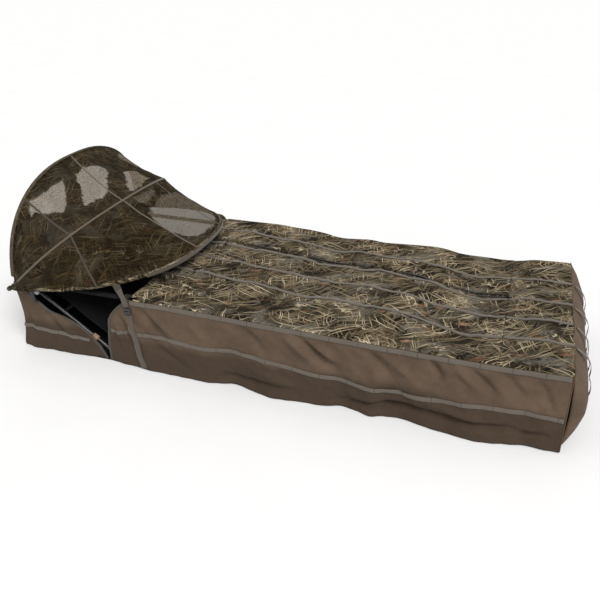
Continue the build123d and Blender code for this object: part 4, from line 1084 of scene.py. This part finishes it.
# ---- back sling, headrest and mat
SLOPE = math.atan2(-0.217, 0.305)
SLING_AT = np.array([-0.8134, 0, 0.147])
ALONG = np.array([math.cos(SLOPE), 0, math.sin(SLOPE)])
OUT = np.array([-math.sin(SLOPE), 0, math.cos(SLOPE)])
u, v = grid(50, 110, (-0.168, 0.168), (-0.399, 0.399))
sag = -0.0025 * (1 - (v / 0.4) ** 2) + 0.0012 * ripple(u, v, 0.14, 121)
points = SLING_AT + u[..., None] * ALONG + (0.0105 + sag)[..., None] * OUT + xyz(0, v, 0)
sling = grid_mesh("back_sling_cloth", points, xyz(u, v))
dress(sling, LINING, 0.0018, body="head_strut_set")
stands_for(sling, "back_sling", (0.336, 0.80), ["head_struts", "head_bars"])


SWELL_STEPS, SWELL_MOST = 20, 0.007     # frames of the pad's simulation, and how far it may move


def soft_box(name, origin, x_dir, out, long, wide, high, corner):
    """A padded block: a rounded closed form, swelled by a short cloth simulation, with its motion capped."""
    side_dir = np.cross(out, x_dir)
    mesh = bpy.data.meshes.new(name)
    work = bmesh.new()
    bmesh.ops.create_cube(work, size=1.0)
    bmesh.ops.subdivide_edges(work, edges=work.edges, cuts=11, use_grid_fill=True)
    for v in work.verts:
        p = np.array(v.co)
        plan = np.array([p[0] * long, p[1] * wide])
        limit = np.array([long / 2 - corner, wide / 2 - corner])
        over = np.abs(plan) - limit
        if (over > 0).all():
            size = np.abs(over).max()
            over = over / (np.linalg.norm(over) + 1e-9) * size
            plan = np.sign(plan) * (limit + over)
        edge = max(abs(p[0]), abs(p[1])) * 2
        thick = high * (1 - 0.30 * edge**4)
        v.co = Vector(origin + plan[0] * x_dir + plan[1] * side_dir + (p[2] * thick + high / 2) * out)
    work.to_mesh(mesh)
    work.free()
    made = bpy.data.objects.new(name, mesh)
    bpy.context.scene.collection.objects.link(made)
    remesh = made.modifiers.new("remesh", "REMESH")
    remesh.mode, remesh.voxel_size = "VOXEL", 0.006
    apply_modifiers(made)
    before = np.array([v.co for v in made.data.vertices])
    cloth = made.modifiers.new("cloth", "CLOTH")
    cloth.settings.use_pressure = True
    cloth.settings.uniform_pressure_force = 4
    cloth.settings.effector_weights.gravity = 0
    cloth.settings.quality = 5
    for step in range(1, SWELL_STEPS + 1):
        bpy.context.scene.frame_set(step)
    apply_modifiers(made)
    bpy.context.scene.frame_set(1)
    after = np.array([v.co for v in made.data.vertices])
    move = after - before
    size = np.linalg.norm(move, axis=1, keepdims=True)
    after = before + move * np.minimum(1, SWELL_MOST / np.maximum(size, 1e-9))
    made.data.vertices.foreach_set("co", after.astype(np.float32).ravel())
    points = np.array([v.co for v in made.data.vertices]) - origin
    # sewn channels across the pad, and a flat underside
    u, w, h = points @ x_dir, points @ side_dir, points @ out
    pinch = np.exp(-(((np.abs(u) - long / 6) / 0.006) ** 2)) * (h > high * 0.45)
    h = np.maximum(h - 0.007 * pinch, 0.0)
    shaped = origin + u[:, None] * x_dir + w[:, None] * side_dir + h[:, None] * out
    made.data.vertices.foreach_set("co", shaped.astype(np.float32).ravel())
    kept = made.data.attributes.new("flat", "FLOAT_VECTOR", "POINT")
    kept.data.foreach_set("vector", xyz(u, w, 0).astype(np.float32).ravel())
    made.data.polygons.foreach_set("use_smooth", [True] * len(made.data.polygons))
    sub = made.modifiers.new("smooth", "SUBSURF")
    sub.levels = sub.render_levels = 1
    return made


def apply_modifiers(obj):
    """Replaces the object's mesh with the shown one, and removes its modifiers."""
    shown = obj.evaluated_get(bpy.context.evaluated_depsgraph_get())
    mesh = bpy.data.meshes.new_from_object(shown)
    obj.modifiers.clear()
    obj.data = mesh


pad_at = np.array([-0.8744, 0, 0.1904]) + OUT * 0.0112
pad = soft_box("headrest_cushion", pad_at, ALONG, OUT, 0.178, 0.368, 0.034, 0.03)
dress(pad, LINING, body="head_strut_set")
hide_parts("headrest_pad")

u, v = grid(120, 100, (-1, 1), (-1, 1))
round_off = np.sqrt(np.clip(1 - np.maximum(np.abs(u), np.abs(v)) ** 16, 0, 1))
x = -0.14 + 0.43 * u * (1 - 0.012 * v**8)
y = 0.35 * v * (1 - 0.012 * u**8)
quilt = 1 - 0.28 * np.exp(-((((x + 0.14) % 0.108 - 0.054) / 0.006) ** 2))
top = FLOOR_TOP + 0.0005 + 0.0133 * round_off * quilt
mat = grid_mesh("seat_mat_cloth", xyz(x, y, top), xyz(x, y))
under = grid_mesh("mat_under", xyz(x, y, FLOOR_TOP + 0.0004), xyz(x, y), flip=True)
bpy.ops.object.select_all(action="DESELECT")
bpy.context.view_layer.objects.active = mat
mat.select_set(True)
under.select_set(True)
bpy.ops.object.join()
dress(mat, LINING, body="root")
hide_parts("seat_mat")

# ---- small hardware
KEEPER_SHARE = 0.79                   # how far down the head struts the tan keeper loops sit
turn = np.linspace(0, 2 * math.pi, 33)[:, None]
out = np.cos(turn) * OUT + np.sin(turn) * (0, 1, 0)
for side, word in SIDES:
    middle_of = np.array([-0.975 + KEEPER_SHARE * 0.305, side * 0.447, 0.262 - KEEPER_SHARE * 0.217])
    loop = ribbon(f"{word}_keeper_loop", middle_of + 0.0112 * out, 0.026, out)
    dress(loop, TAN_TAPE, 0.0015, body="head_strut_set")


# ---- carried-over CAD nodes
FINISH = {
    STEEL: ["base_rails", "base_cross_tubes", "side_rails", "knee_hoop", "head_struts", "knee_struts",
            "foot_struts", "knee_bar", "foot_bar", "hood_brackets"],
    MATTE: ["top_rails", "top_cross_tubes", "head_bars"],
    MOULDED: ["base_elbows", "base_tees", "top_elbows", "knee_risers", "rail_clamps", "near_lock_lever",
              "far_lock_lever", "strap_buckles", "bar_clips"],
    GREY_MOULDED: ["lever_brackets"],
    ROD: ["back_hoop", "mid_bow", "rim_bow", "near_door_rod", "far_door_rod", "hood_pivot_bolts"],
    BRIGHT: ["strut_pins"],
}
for material, names in FINISH.items():
    for name in names:
        if name not in NODES:
            raise RuntimeError(f"no CAD node {name}")
        node = NODES[name]
        for slot_used in node.material_slots:
            slot_used.material = material
        if not node.material_slots:
            node.data.materials.append(material)

# ---- studio floor
bpy.ops.mesh.primitive_grid_add(x_subdivisions=8, y_subdivisions=8, size=60, location=(0, 0, -0.0005))
studio = bpy.context.object
studio.name = "studio_floor"
paper = Shade("studio paper", "object")
grain = paper.noise(paper.at, 3, 3)
studio.data.materials.append(paper.done(paper.ramp(grain, [(0.3, 0.86), (0.7, 0.88)]), 0.9, specular=0.1))
